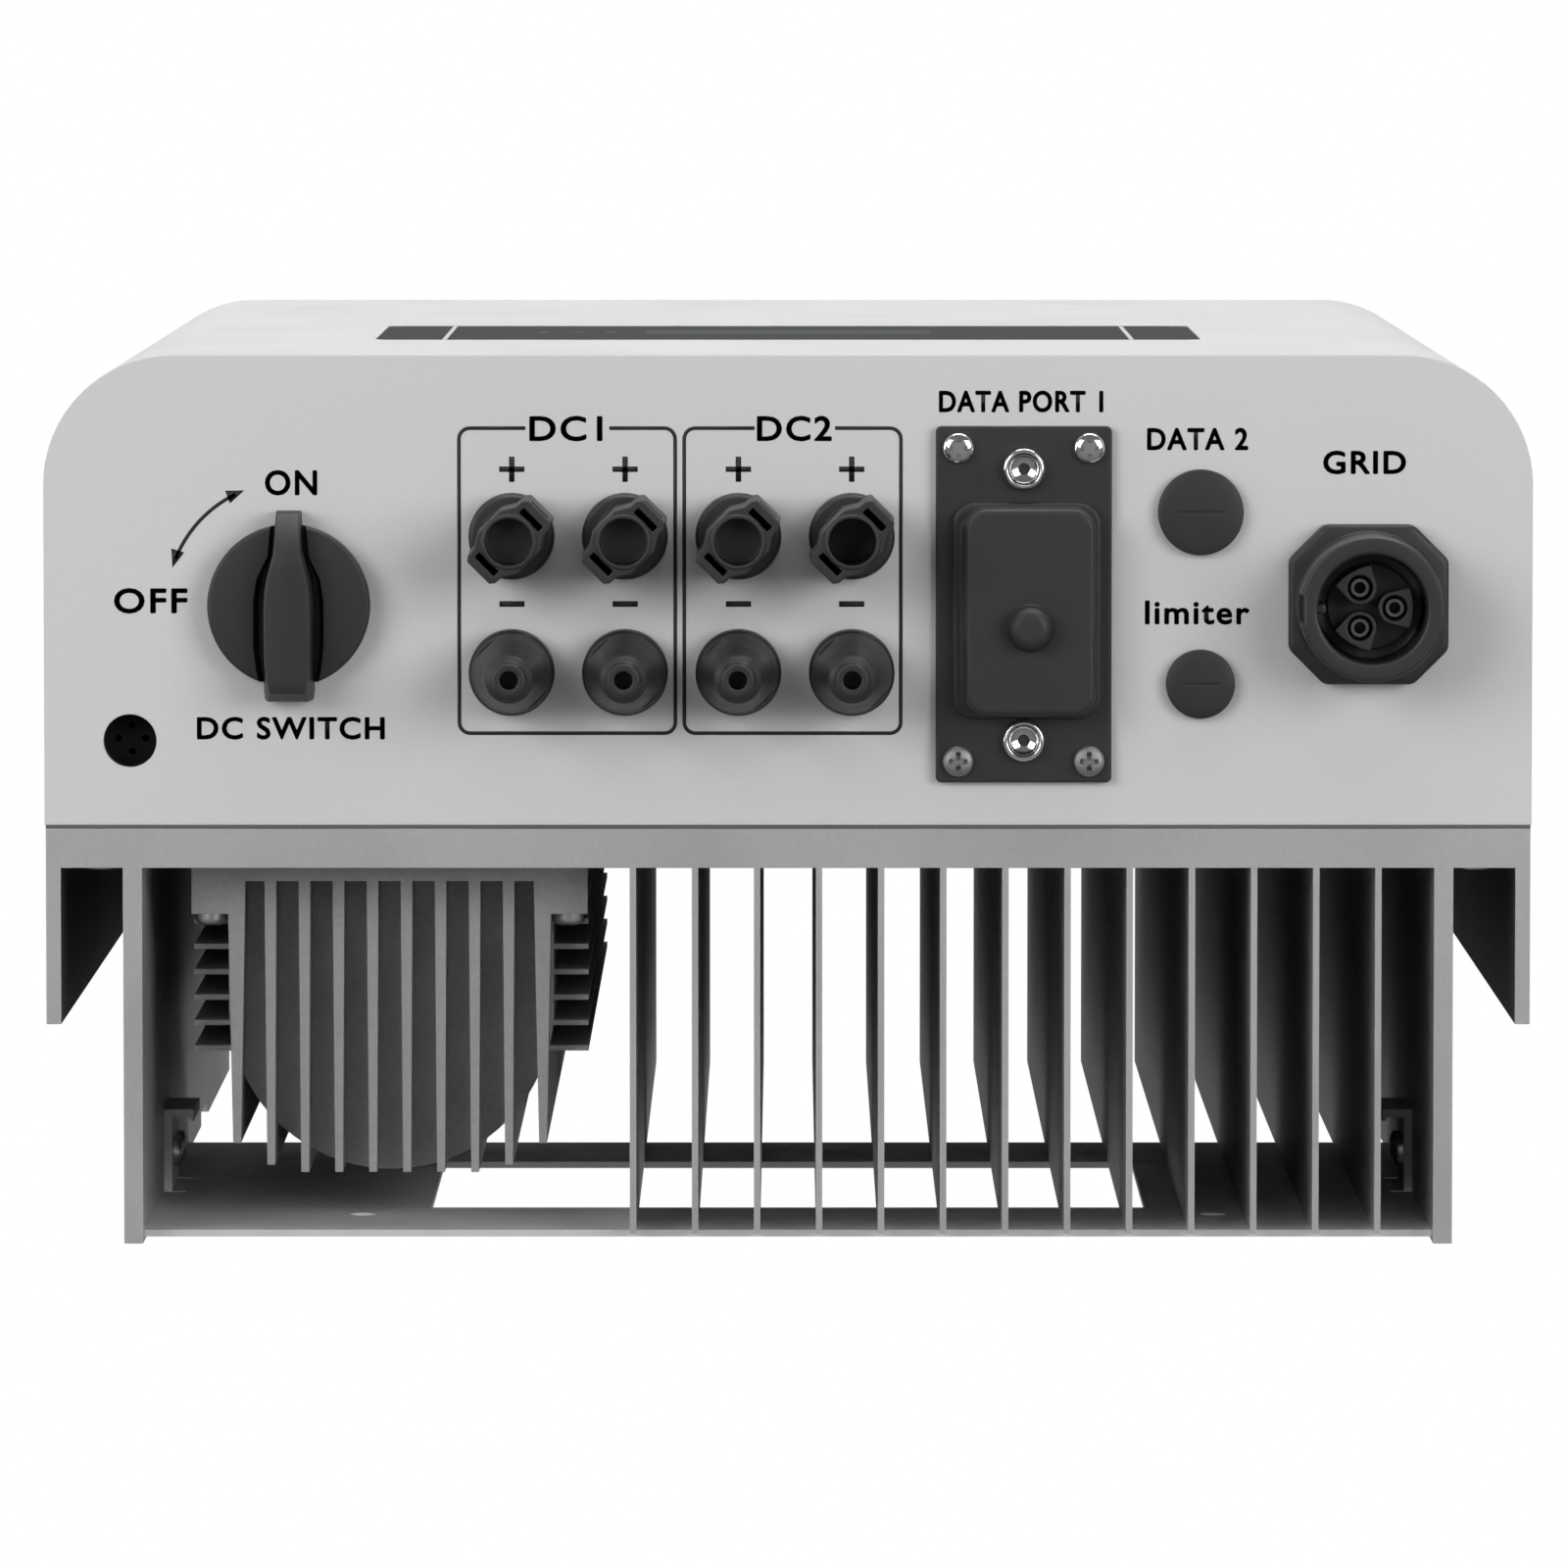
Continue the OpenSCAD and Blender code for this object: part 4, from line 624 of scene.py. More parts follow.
liquid_crystal = finish(
    "liquid_crystal", (0.10, 0.12, 0.11), (0.16, 0.19, 0.17), (0.15, 0.25), depth=0.0, cloud_size=180.0,
    Coat_Weight=0.6, Coat_Roughness=0.05
)
field = on_glass(lcd_low.x + side_rim, lcd_low.z + end_rim, lcd_high.x - side_rim, lcd_high.z - end_rim)
piece("lcd_field", field, liquid_crystal, "case")
white_ink = finish("white_ink", (0.55, 0.56, 0.56), (0.6, 0.6, 0.6), (0.5, 0.6), depth=0.0)
side_lines = bmesh.new()
for side in (-1, 1):
    x = side * side_line_x
    low_z, high_z = glass_low.z + side_line_gap, glass_high.z - side_line_gap
    part = on_glass(x - side_line_half_w, low_z, x + side_line_half_w, high_z)
    strip = bpy.data.meshes.new("strip")
    part.to_mesh(strip)
    side_lines.from_mesh(strip)
    bpy.data.meshes.remove(strip)
piece("glass_side_lines", side_lines, white_ink, "case")
symbols = bmesh.new()
for low, high in solids_of("status_leds"):
    middle = (low + high) / 2
    loops = []
    for y in (glass_low.y, print_y):
        loops.append([])
        for i in range(24):
            a = 2 * math.pi * i / 24
            at = (middle.x + lamp_symbol_r * math.cos(a), y, middle.z + lamp_symbol_r * math.sin(a))
            loops[-1].append(Vector(at))
    skin(symbols, loops)
lamp_window = finish("lamp_window", (0.12, 0.16, 0.15), (0.15, 0.20, 0.18), (0.2, 0.3), depth=0.0)
piece("status_symbols", symbols, lamp_window, "case")

module_frame = finish(
    "module_frame", (0.30, 0.31, 0.30), (0.36, 0.37, 0.36), (0.3, 0.42), metal=1.0, depth=0.006
)
coat_node("lcd_module", module_frame)
solder_mask = finish(
    "solder_mask", (0.012, 0.075, 0.035), (0.018, 0.10, 0.048), (0.28, 0.42), cloud_size=420.0,
    depth=0.006, stretch=(900, 900, 900), edge_radius=0.2, edge_tone=(0.35, 0.30, 0.16)
)
coat_node("display_board", solder_mask)
coat_node("display_spacers", zinc_plate)
lamp_resin = finish("lamp_resin", (0.05, 0.32, 0.10), (0.07, 0.40, 0.13), (0.12, 0.2), depth=0.0)
coat_node("status_leds", lamp_resin)


# ---------------------------------------------------------------- DC switch
# A rotary isolator: its moulded knob turns a quarter turn on a steel shaft that drives the
# contacts in the body behind the panel. The handle stands in a trench in the knob's disc.

def under_panel(x0, y0):
    """Places (x, y, height) in mm below the panel, from a point on it, y towards the wall."""
    def at(x, y, height):
        return Vector((x0 + x * mm, y0 + y * mm, panel_z - height * mm))
    return at


def middle_of(node):
    """Where a node's middle lies across the panel, in metres."""
    low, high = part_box(node)
    return (low.x + high.x) / 2, (low.y + high.y) / 2


black_moulding = finish(
    "black_moulding", (0.018, 0.018, 0.019), (0.025, 0.025, 0.026), (0.42, 0.54),
    stretch=(3200, 3200, 3200), cloud_size=120.0, depth=0.012, edge_radius=0.3,
    edge_tone=(0.06, 0.06, 0.06)
)

switch_at = under_panel(*middle_of("dc_switch_shaft"))
knob_bm = bmesh.new()
knob_profile = [(0, 0.5), (16.6, 0.5), (18, 1.6), (18, 7), (0, 7)]
turned(knob_bm, switch_at, eased(knob_profile, 0.9), 120)
knob = piece("switch_knob", knob_bm, black_moulding, "dc_switch")
trench = bmesh.new()
trench_edge = [
    (-3.9, -18.6), (-4.6, -11), (-7.1, -6), (-7.9, -1), (-7.9, 9), (-7.3, 14), (-6.4, 18.6),
    (6.4, 18.6), (7.3, 14), (7.9, 9), (7.9, -1), (7.1, -6), (4.6, -11), (3.9, -18.6)
]
skin(trench, [[switch_at(x * f, y, h) for x, y in trench_edge] for h, f in ((2.4, 0.86), (7.6, 1.0))])
carve(knob, trench, 0.35)

handle_stations = [
    # along, half width at the disc, half width at the top, height
    (-20.9, 2.7, 2.45, 8.6), (-20.7, 2.8, 2.55, 9.2), (-17.5, 2.9, 2.7, 12.6), (-12.9, 3.2, 2.9, 15.2),
    (-12.2, 3.3, 2.95, 15.5), (-9, 4.2, 3.7, 15.5), (-6, 5.1, 4.5, 15.5), (-3, 5.5, 4.95, 15.5),
    (0, 5.6, 5.1, 15.5), (8, 5.6, 5.1, 15.5), (13, 5.6, 4.95, 15.5), (16, 5.6, 4.5, 15.5),
    (18.3, 5.6, 4.0, 15.5), (18.9, 5.6, 3.95, 15.3), (20.7, 5.4, 4.5, 10.0), (21.0, 5.3, 4.5, 9.2)
]
handle_bm = bmesh.new()
handle_loops = []
for along, foot, head_half, top in handle_stations:
    outline = [(-foot, 0.8), (-foot, 3.0), (-head_half, top), (head_half, top), (foot, 3.0), (foot, 0.8)]
    rounded = eased(outline, 0.55, 3)
    handle_loops.append([switch_at(p.x, along, p.y) for p in rounded])
skin(handle_bm, handle_loops)
piece("switch_handle", handle_bm, black_moulding, "dc_switch", 24)
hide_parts("dc_switch_knob")
turned_steel = finish(
    "turned_steel", (0.55, 0.55, 0.55), (0.62, 0.62, 0.62), (0.25, 0.35), metal=1.0,
    stretch=(300, 300, 6000), depth=0.004
)
coat_node("dc_switch_shaft", turned_steel)
dark_moulding = finish(
    "dark_moulding", (0.05, 0.05, 0.055), (0.065, 0.065, 0.07), (0.45, 0.6), depth=0.01, edge_radius=0.4
)
coat_node("dc_switch_rotor", dark_moulding)
coat_node("dc_switch_body", dark_moulding)
coat_node("dc_switch_seal", seal_rubber)


# ---------------------------------------------------------------- string plugs
# Four pairs of panel plugs, moulded in black, one pair for each string. A plus plug is an open
# tube with two latch ears on a diagonal; a minus plug is a cone with a small round nose.

def diagonal(at):
    """Turns a plug's own axes by an eighth of a turn, so that u runs along its latch ears."""
    s = math.sqrt(0.5)

    def turned_at(u, v, height):
        return at((u + v) * s, (v - u) * s, height)
    return turned_at


plug_back = [(0, -14), (5.5, -14), (5.5, -8), (8, -8), (8, 0)]
mouth_r = 5.2
mouth_wall_r = 6.35
ear_slot_u = 6.9
cone_flat_v = 7.9
for number_of_pair in range(1, 5):
    node = f"pv_plus_{number_of_pair}"
    at = under_panel(*middle_of(node))
    ear_at = diagonal(at)
    bm = bmesh.new()
    collar = eased([(8, 0), (9.5, 0), (9.5, 6.2), (8.8, 7), (6.4, 7), (6.4, 8)], 0.4)
    turned(bm, at, plug_back + collar + [(0, 8)], 96)
    plug = piece(f"plus_plug_{number_of_pair}", bm, black_moulding, "case")
    body_bm = bmesh.new()
    plan = [
        (-9.7, -3.5), (-8.6, -4.35), (-6.6, -4.5), (-3.6, -6.3), (3.6, -6.3), (6.6, -4.5), (8.6, -4.35),
        (9.7, -3.5), (9.7, 3.5), (8.6, 4.35), (6.6, 4.5), (3.6, 6.3), (-3.6, 6.3), (-6.6, 4.5),
        (-8.6, 4.35), (-9.7, 3.5)
    ]
    levels = ((5, 1.0), (29.2, 0.985), (29.6, 0.97))
    skin(body_bm, [[ear_at(u * share, v * share, h) for u, v in plan] for h, share in levels])
    latch_body = piece(f"plus_latch_{number_of_pair}", body_bm, black_moulding, "case")
    cutters = bmesh.new()
    stop = 12 if number_of_pair == 4 else 21
    turned(cutters, at, [(0, stop), (mouth_r, stop), (mouth_r, 31), (0, 31)], 64)
    for side in (-1, 1):
        u = side * ear_slot_u
        box_in(cutters, ear_at, (u - 0.75, -2.95, 9), (u + 0.75, 2.95, 31))
        box_in(cutters, ear_at, (side * 8.6 - 0.3, -2.6, 20), (side * 12, 2.6, 26))
    carve(latch_body, cutters, 0.3)
    rim_bm = bmesh.new()
    rim = eased([
        (mouth_r, 22), (mouth_r, 30), (5.9, 30), (mouth_wall_r, 29.4), (mouth_wall_r, 22)
    ], 0.25, 3)
    loops = []
    for p in rim:
        angles = [2 * math.pi * i / 72 for i in range(72)]
        loops.append([at(p.x * math.cos(a), p.x * math.sin(a), p.y) for a in angles])
    skin(rim_bm, loops, closed_ends=False)
    piece(f"plus_mouth_{number_of_pair}", rim_bm, black_moulding, "case")
    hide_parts(node)

    node = f"pv_minus_{number_of_pair}"
    at = under_panel(*middle_of(node))
    bm = bmesh.new()
    cone = eased([
        (8, 0), (9.5, 0), (9.5, 6.4), (8.9, 7), (5.3, 29.2), (3.75, 30.2), (3.75, 32.6), (3.4, 33),
        (2, 33), (2, 25)
    ], 0.35, 3)
    turned(bm, at, plug_back + cone + [(0, 25)], 96)
    plug = piece(f"minus_plug_{number_of_pair}", bm, black_moulding, "case")
    cutters = bmesh.new()
    flat_at = diagonal(at)
    for near, far in ((-cone_flat_v, -cone_flat_v - 5.1), (cone_flat_v, cone_flat_v + 5.1)):
        box_in(cutters, flat_at, (-10, min(near, far), 9), (10, max(near, far), 29))
    carve(plug, cutters, 0.25)
    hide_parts(node)

# Painted shade: the tinned pins get a near-black tone, far darker than tin, for the shade deep in the
# plugs' bores
bore_shaded_tin = finish(
    "bore_shaded_tin", (0.16, 0.155, 0.15), (0.22, 0.21, 0.20), (0.4, 0.5), metal=1.0, depth=0.004
)
coat_node("pv_contacts", bore_shaded_tin)
coat_node("pv_nuts", dark_moulding)
coat_node("pv_seals", seal_rubber)
red_lead = finish("red_lead", (0.32, 0.02, 0.015), (0.38, 0.03, 0.02), (0.35, 0.5), depth=0.01)
coat_node("dc_leads", red_lead)


# ---------------------------------------------------------------- communication plate
# A black moulded plate held by four screws. A rubber cap with a round pull covers the plug
# socket in its middle, between two jack screws; the cap pulls straight off.

com_at = under_panel(*middle_of("com_plate"))


def rounded_plan(half_w, half_l, radius, steps=8):
    """A rectangle with round corners, as points (x, y) in mm."""
    points = []
    for cx, cy, start in ((1, 1, 0), (-1, 1, 90), (-1, -1, 180), (1, -1, 270)):
        for i in range(steps + 1):
            a = math.radians(start + 90 * i / steps)
            x = cx * (half_w - radius) + radius * math.cos(a)
            y = cy * (half_l - radius) + radius * math.sin(a)
            points.append((x, y))
    return points


def soft_slab(bm, at, half_w, half_l, radius, bottom, top, round_over, shift=(0, 0)):
    """A rounded slab whose upper edge is rolled over by round_over."""
    levels = [(bottom, 0.0)]
    for i in range(6):
        a = math.pi / 2 * i / 5
        levels.append((top - round_over * (1 - math.sin(a)), round_over * (1 - math.cos(a))))
    levels.append((top, round_over + 0.5))
    loops = []
    for height, inset in levels:
        plan = rounded_plan(half_w - inset, half_l - inset, max(radius - inset, 0.3))
        loops.append([at(x + shift[0], y + shift[1], height) for x, y in plan])
    skin(bm, loops)


plate_bm = bmesh.new()
soft_slab(plate_bm, com_at, 19.5, 39.5, 1.3, 0, 2.5, 0.4)
plate = piece("communication_plate", plate_bm, black_moulding, "case")
opening = bmesh.new()
skin(opening, [[com_at(x, y, h) for x, y in rounded_plan(11, 19, 3)] for h in (-1, 4)])
carve(plate, opening)
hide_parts("com_plate")

plate_screws = solids_of("com_plate_screws")
upper_screws = [pair for pair in plate_screws if pair[0].y < middle_of("com_plate")[1]]
lower_screws = [pair for pair in plate_screws if pair[0].y >= middle_of("com_plate")[1]]
plate_screw = (6.8, 2.2, 3, 7)
upper_set = screws(
    "plate_screws_upper", "com_plate_screws", "z-", plate_screw, polished_steel,
    pick=upper_screws
)
matt_zinc = finish(
    "matt_zinc", (0.30, 0.30, 0.30), (0.36, 0.36, 0.36), (0.5, 0.62), metal=1.0, depth=0.008
)
screws("plate_screws_lower", "com_plate_screws", "z-", plate_screw, matt_zinc, pick=lower_screws)
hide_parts("com_plate_screws")

jack_bm = bmesh.new()
for low, high in solids_of("com_jack_screws"):
    at = under_panel((low.x + high.x) / 2, (low.y + high.y) / 2)
    profile = [(0, -5), (2, -5)]
    profile += eased([(2, 2.5), (4.6, 2.5), (4.6, 4.7), (4.2, 5.1), (3.6, 5.1), (3.5, 4.6)], 0.25, 3)
    for step in range(1, 5):
        a = math.radians(15 * step)
        profile.append((3.5 * math.cos(a), 4.6 - 1.5 * math.sin(a)))
    turned(jack_bm, at, profile + [(1.3, 3.2), (1.3, 1.5), (0, 1.5)], 64)
jack_screws = piece("jack_screws", jack_bm, polished_steel, "case", 50)
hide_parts("com_jack_screws")

cap_rubber = finish(
    "cap_rubber", (0.019, 0.019, 0.020), (0.026, 0.026, 0.027), (0.46, 0.58),
    stretch=(2600, 2600, 2600), depth=0.012, cloud_size=150.0
)
cap_bm = bmesh.new()
soft_slab(cap_bm, com_at, 16.5, 24, 5, 2.5, 4.7, 0.8, (0.65, 1.3))
soft_slab(cap_bm, com_at, 14.5, 23, 5, 3.5, 12, 1.3, (1.3, 1.3))
plate_x, plate_y = middle_of("com_plate")
pull_at = under_panel(plate_x + 1.3 * mm, plate_y + 4.6 * mm)
pull = eased([(0, 11), (5.6, 11), (5.6, 12.0), (4.75, 13), (4.75, 16.6), (3.3, 18), (0, 18)], 1.2, 5)
pull_bm = bmesh.new()
turned(pull_bm, pull_at, pull, 64)
piece("dust_cap_pull", pull_bm, cap_rubber, "com_cap_body")
cap = piece("dust_cap", cap_bm, cap_rubber, "com_cap_body", 24)
hollow = bmesh.new()
skin(hollow, [[com_at(x, y, h) for x, y in rounded_plan(11.5, 19.5, 3.5)] for h in (2.0, 9.5)])
carve(cap, hollow)
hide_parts("com_cap")
coat_node("com_gasket", seal_rubber)
socket_shell = finish(
    "socket_shell", (0.45, 0.45, 0.46), (0.55, 0.55, 0.55), (0.25, 0.4), metal=1.0, depth=0.004
)
coat_node("com_socket", socket_shell)


# ---------------------------------------------------------------- blanking caps and breather
# Two moulded caps with a shallow coin slot close the spare cable holes and are held by nuts. The
# breather is a cup behind a hole, with a membrane that lets the case breathe; its near-black
# colour, darker than the moulding, is painted shade inside the hole.

for size_name in ("large", "small"):
    node = f"blanking_cap_{size_name}"
    low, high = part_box(node)
    radius = (high.x - low.x) / 2 / mm
    at = under_panel((low.x + high.x) / 2, (low.y + high.y) / 2)
    stem = radius * 0.8
    bm = bmesh.new()
    profile = [(0, -8), (stem, -8), (stem, 0), (radius - 0.3, 0), (radius, 0.3), (radius, 2.3)]
    for step in range(1, 9):
        a = math.radians(10 * step)
        profile.append((radius * math.cos(a), 2.5 + 0.7 * math.sin(a)))
    turned(bm, at, profile + [(0, 3.2)], 96)
    disc = piece(f"blanking_disc_{size_name}", bm, black_moulding, "case")
    coin_slot = bmesh.new()
    box_in(coin_slot, at, (-radius * 0.55, -0.35, 2.9), (radius * 0.55, 0.35, 4))
    carve(disc, coin_slot)
    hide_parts(node)
coat_node("blanking_cap_nuts", dark_moulding)
# Painted shade: the breather is coloured near pure black for the shade inside its hole
shade_black_membrane = finish(
    "shade_black_membrane", (0.002, 0.002, 0.002), (0.004, 0.004, 0.004), (0.85, 0.95), depth=0.01
)
coat_node("breather", shade_black_membrane)


# ---------------------------------------------------------------- AC socket
# A moulded three-pole panel socket: an eight-sided flange, a round shell with an outer key notch
# and an inner key rib, and an insert whose three petals shroud the contacts.

ac_at = under_panel(*middle_of("ac_socket"))
flange_bm = bmesh.new()


def cut_square(half, cut):
    """A square with its corners cut off and every edge of the cuts eased."""
    inner = half - cut
    corners = [
        (-half, -inner), (-inner, -half), (inner, -half), (half, -inner), (half, inner), (inner, half),
        (-inner, half), (-half, inner)
    ]
    closed = corners + corners[:2]
    return [tuple(p) for p in eased(closed, 1.2, 4)[1:-1]]


flange_half = 17.65
flange_cut = 7.7
flange_levels = [(0, 0.0), (5.1, 0.0), (5.4, 0.05), (5.75, 0.35), (5.9, 0.7), (6, 1.1)]
flange_loops = []
for h, inset in flange_levels:
    flange_loops.append([ac_at(x, y, h) for x, y in cut_square(flange_half - inset, flange_cut)])
skin(flange_bm, flange_loops)
flange = piece("ac_flange", flange_bm, black_moulding, "case")
shell_bm = bmesh.new()
shell_profile = eased([
    (0, -14), (14, -14), (14, 0), (16.6, 0), (16.6, 6.6), (16, 7.4), (16, 24.6), (12.1, 24.6),
    (11.9, 9), (0, 9)
], 0.9, 5)
turned(shell_bm, ac_at, shell_profile, 128)
shell = piece("ac_shell", shell_bm, black_moulding, "case")
notch = bmesh.new()
box_in(notch, ac_at, (-17, -3.2, 12), (-14.7, 3.2, 26))
carve(shell, notch, 0.3)
key_bm = bmesh.new()
box_in(key_bm, ac_at, (-12.6, -1.1, 9), (-10.2, 1.1, 22))
key = piece("ac_key", key_bm, black_moulding, "case")
soft = key.modifiers.new("ease", "BEVEL")
soft.width = 0.5 * mm
soft.segments = 3
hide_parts("ac_socket")

insert_bm = bmesh.new()
turned(insert_bm, ac_at, eased([(0, 8.9), (9.5, 8.9), (9.5, 11), (0, 11)], 0.3), 96)
insert = piece("ac_insert_disc", insert_bm, black_moulding, "case")
contact_circle_r = 5.1
contact_hole_r = 2.75
petal_r = 3.7
for number_of_petal, angle in enumerate((120, 0, 240), 1):
    turn = math.radians(angle)

    def petal_at(u, v, height):
        x = u * math.cos(turn) - v * math.sin(turn)
        y = u * math.sin(turn) + v * math.cos(turn)
        return ac_at(x, y, height)

    plan = []
    for degrees in range(100, 261, 16):
        a = math.radians(degrees)
        plan.append((contact_circle_r + petal_r * math.cos(a), petal_r * math.sin(a)))
    plan += [(8.4, -4.6), (9.0, -2.4), (9.2, 0), (9.0, 2.4), (8.4, 4.6)]
    petal_bm = bmesh.new()
    skin(petal_bm, [[petal_at(u, v, h) for u, v in plan] for h in (9.5, 18.6)])
    petal = piece(f"ac_petal_{number_of_petal}", petal_bm, black_moulding, "case")
    bores = bmesh.new()
    hole = petal_at(contact_circle_r, 0, 0)
    hole_at = under_panel(hole.x, hole.y)
    turned(bores, hole_at, [(0, 10.5), (contact_hole_r, 10.5), (contact_hole_r, 20), (0, 20)], 48)
    carve(petal, bores, 0.35)
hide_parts("ac_insert")
# Painted shade: the silvered contacts get a near-black tone, far darker than silver, for the shade inside
# the socket
socket_shaded_silver = finish(
    "socket_shaded_silver", (0.10, 0.098, 0.095), (0.16, 0.155, 0.15), (0.35, 0.5), metal=1.0,
    cloud_size=700.0, depth=0.01
)
coat_node("ac_contacts", socket_shaded_silver)
coat_node("ac_nut", dark_moulding)
brown_lead = finish("brown_lead", (0.12, 0.05, 0.02), (0.15, 0.07, 0.03), (0.35, 0.5), depth=0.01)
coat_node("ac_leads", brown_lead)


# ---------------------------------------------------------------- electronics
# A power board and a control board on threaded standoffs. Between them sit the film and link
# capacitors, relays, toroid chokes and the power modules, which press pads to the heat sink.

coat_node("power_board", solder_mask)
coat_node("control_board", solder_mask)
can_sleeve = finish(
    "can_sleeve", (0.020, 0.024, 0.05), (0.03, 0.035, 0.07), (0.3, 0.4), depth=0.006, edge_radius=1.2,
    edge_tone=(0.42, 0.43, 0.44)
)
coat_node("dc_link_capacitors", can_sleeve)
epoxy_module = finish(
    "epoxy_module", (0.028, 0.028, 0.03), (0.04, 0.04, 0.043), (0.5, 0.65), stretch=(1800, 1800, 1800),
    depth=0.016, edge_radius=0.3, edge_tone=(0.07, 0.07, 0.07)
)
coat_node("power_modules", epoxy_module)
grey_pad = finish("grey_pad", (0.30, 0.33, 0.36), (0.36, 0.39, 0.42), (0.75, 0.9), depth=0.02)
coat_node("thermal_pads", grey_pad)
relay_case = finish(
    "relay_case", (0.022, 0.035, 0.10), (0.03, 0.045, 0.13), (0.3, 0.45), depth=0.008, edge_radius=0.35,
    edge_tone=(0.06, 0.09, 0.2)
)
coat_node("relays", relay_case)
coat_node("emi_chokes", ferrite_grey)
film_box = finish(
    "film_box", (0.42, 0.30, 0.05), (0.50, 0.36, 0.07), (0.35, 0.5), depth=0.006, edge_radius=0.4,
    edge_tone=(0.6, 0.48, 0.18)
)
coat_node("film_capacitors", film_box)
coat_node("board_standoffs", zinc_plate)
board_screw_set = screws(
    "board_screw_set", "board_screws", "y-", (7.2, 2.5, 3, 7.4), zinc_plate
)
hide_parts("board_screws")
flat_cable = finish(
    "flat_cable", (0.30, 0.31, 0.32), (0.40, 0.41, 0.42), (0.4, 0.55), stretch=(900, 20, 20), depth=0.03
)
coat_node("ribbon_cable", flat_cable)


# ---------------------------------------------------------------- panel print
# Black pad printing on the bottom panel: a frame round each pair of strings, signs for the poles,
# a double arrow round the switch and a plain word beside each fitting.

print_lift = 0.03
ink_spread = 0.19
sign_half = 2.8
plus_depth = 25.2
minus_depth = 55.1
turn_r = 27.2
arrow_from, arrow_to = 116, 158
arrow_tip_gap = 4.5
head_length = 4.0
head_half = 1.5
film_thickness = 0.025
printed = bmesh.new()


def on_panel(x, depth):
    """A point of the print: x and the depth from the case's front, in mm."""
    return Vector((x * mm, front_y + depth * mm, panel_z - print_lift * mm))


def stroke(points, width):
    """A printed line through points (x, depth) in mm."""
    left, right = [], []
    for i, at in enumerate(points):
        before = Vector(points[max(i - 1, 0)])
        after = Vector(points[min(i + 1, len(points) - 1)])
        along = (after - before).normalized()
        side = Vector((-along.y, along.x)) * width / 2
        left.append(printed.verts.new(on_panel(*(Vector(at) + side))))
        right.append(printed.verts.new(on_panel(*(Vector(at) - side))))
    for i in range(len(points) - 1):
        printed.faces.new((left[i], left[i + 1], right[i + 1], right[i]))


def word(text, x, depth, width, height):
    """A word centred on (x, depth), drawn to width and height in mm and made bold by ink_spread."""
    letters = bpy.data.curves.new("letters", "FONT")
    letters.body = text
    letters.size = 1.0
    letters.space_character = 1.12
    letters.resolution_u = 4
    holder = bpy.data.objects.new("letters", letters)
    scene.collection.objects.link(holder)
    graph = bpy.context.evaluated_depsgraph_get()
    flat = bpy.data.meshes.new_from_object(holder.evaluated_get(graph))
    xs = [v.co.x for v in flat.vertices]
    ys = [v.co.y for v in flat.vertices]
    middle = Vector(((min(xs) + max(xs)) / 2, (min(ys) + max(ys)) / 2))
    scale_x = (width - 2 * ink_spread) / (max(xs) - min(xs))
    scale_y = (height - 2 * ink_spread) / (max(ys) - min(ys))
    drawn_at = [((v.co.x - middle.x) * scale_x, (v.co.y - middle.y) * scale_y) for v in flat.vertices]
    for turn in range(9):
        a = math.radians(45 * turn)
        reach = ink_spread if turn else 0
        for v, (across, rise) in zip(flat.vertices, drawn_at):
            v.co = on_panel(x + across + reach * math.cos(a), depth - rise + reach * math.sin(a))
        printed.from_mesh(flat)
    bpy.data.objects.remove(holder)
    bpy.data.meshes.remove(flat)


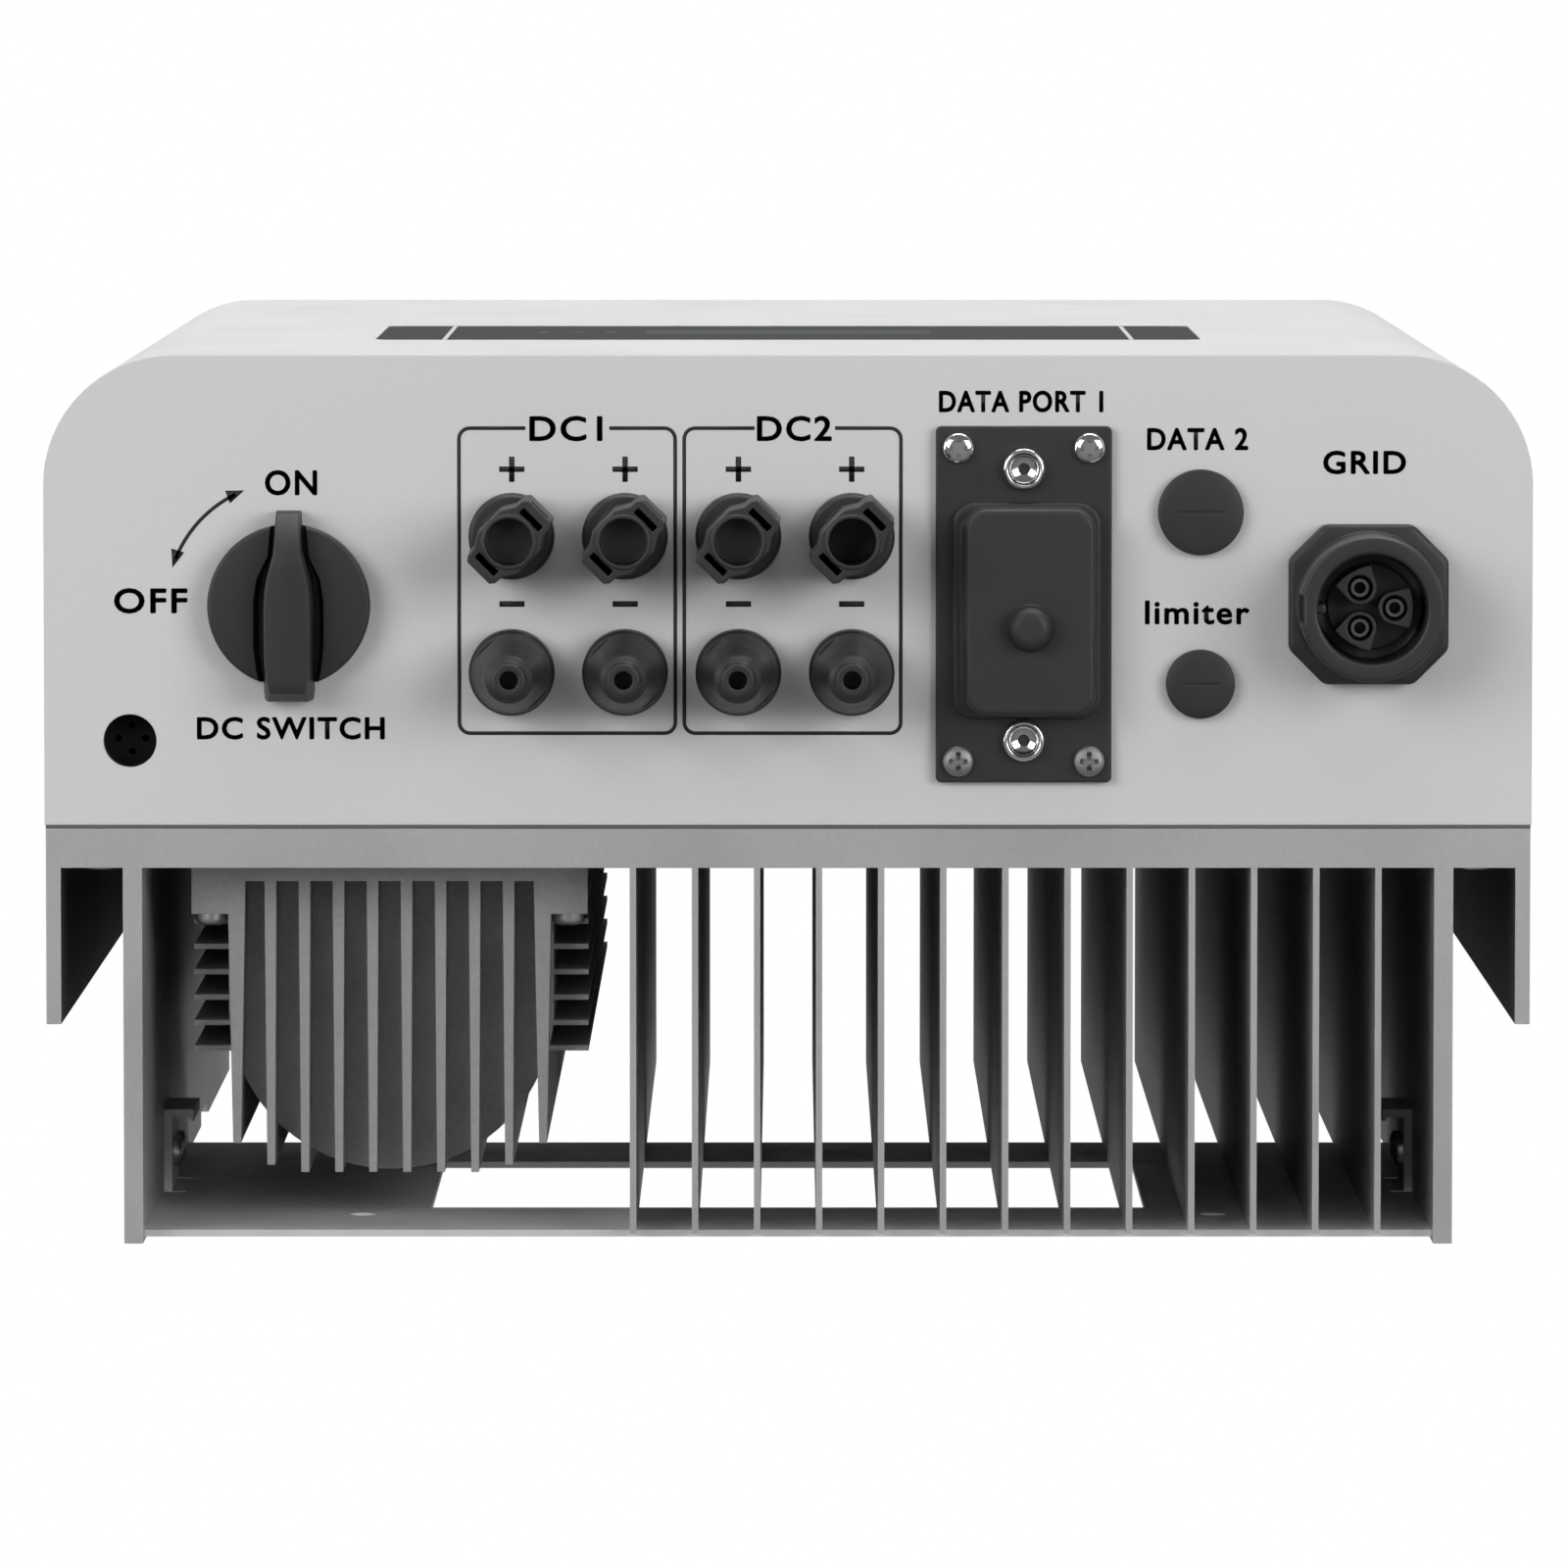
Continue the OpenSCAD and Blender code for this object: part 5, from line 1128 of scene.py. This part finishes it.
knob_x, knob_y = middle_of("dc_switch_shaft")
knob_x, knob_depth = knob_x / mm, (knob_y - front_y) / mm
word("ON", knob_x + 0.4, 28.2, 11.6, 5.7)
word("OFF", -141.3, 54.4, 16.3, 5.7)
word("DC SWITCH", knob_x + 0.2, 82.7, 41.7, 5.1)
word("DC1", -49.2, 16.2, 16.2, 5.7)
word("DC2", 1.4, 16.2, 16.6, 5.7)
word("DATA PORT 1", 51.6, 10.2, 36.4, 4.9)
word("DATA 2", 90.7, 18.5, 22.4, 5.0)
word("limiter", 90.7, 57.0, 23.2, 5.4)
word("GRID", 127.7, 23.7, 18.4, 5.3)

frame_top, frame_bottom, frame_r, line_w = 16.1, 83.8, 2.4, 0.82
for left, right, gap_left, gap_right in ((-72.9, -25.0, -58.2, -39.6), (-23.0, 25.0, -7.4, 10.4)):
    outline = [(gap_left, frame_top)]
    left_x, right_x = left + frame_r, right - frame_r
    top_y, bottom_y = frame_top + frame_r, frame_bottom - frame_r
    corners = ((left_x, top_y, 270), (left_x, bottom_y, 180), (right_x, bottom_y, 90), (right_x, top_y, 0))
    for cx, cy, start in corners:
        for i in range(7):
            a = math.radians(start - 15 * i)
            outline.append((cx + frame_r * math.cos(a), cy + frame_r * math.sin(a)))
    stroke(outline + [(gap_right, frame_top)], line_w)

for number_of_pair in range(1, 5):
    x = middle_of(f"pv_plus_{number_of_pair}")[0] / mm
    stroke([(x - sign_half, plus_depth), (x + sign_half, plus_depth)], 1.2)
    stroke([(x, plus_depth - sign_half), (x, plus_depth + sign_half)], 1.2)
    stroke([(x - sign_half, minus_depth), (x + sign_half, minus_depth)], 1.25)

arc = []
for i in range(25):
    a = math.radians(arrow_from + (arrow_to - arrow_from) * i / 24)
    arc.append((knob_x + turn_r * math.cos(a), knob_depth - turn_r * math.sin(a)))
stroke(arc, 0.8)
for tip_angle, way in ((arrow_from - arrow_tip_gap, 1), (arrow_to + arrow_tip_gap, -1)):
    a = math.radians(tip_angle)
    tip = Vector((knob_x + turn_r * math.cos(a), knob_depth - turn_r * math.sin(a)))
    along = Vector((math.sin(a), math.cos(a))) * way
    side = Vector((-along.y, along.x))
    heel = tip - along * head_length
    outline = (tip, heel + side * head_half, heel - side * head_half)
    printed.faces.new([printed.verts.new(on_panel(*q)) for q in outline])

pad_ink = finish("pad_ink", (0.006, 0.006, 0.006), (0.010, 0.010, 0.010), (0.5, 0.6), depth=0.004)
panel_print = piece("panel_print", printed, pad_ink, "case")
film = panel_print.modifiers.new("film", "SOLIDIFY")
film.thickness = film_thickness * mm
film.offset = 0

low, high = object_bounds()
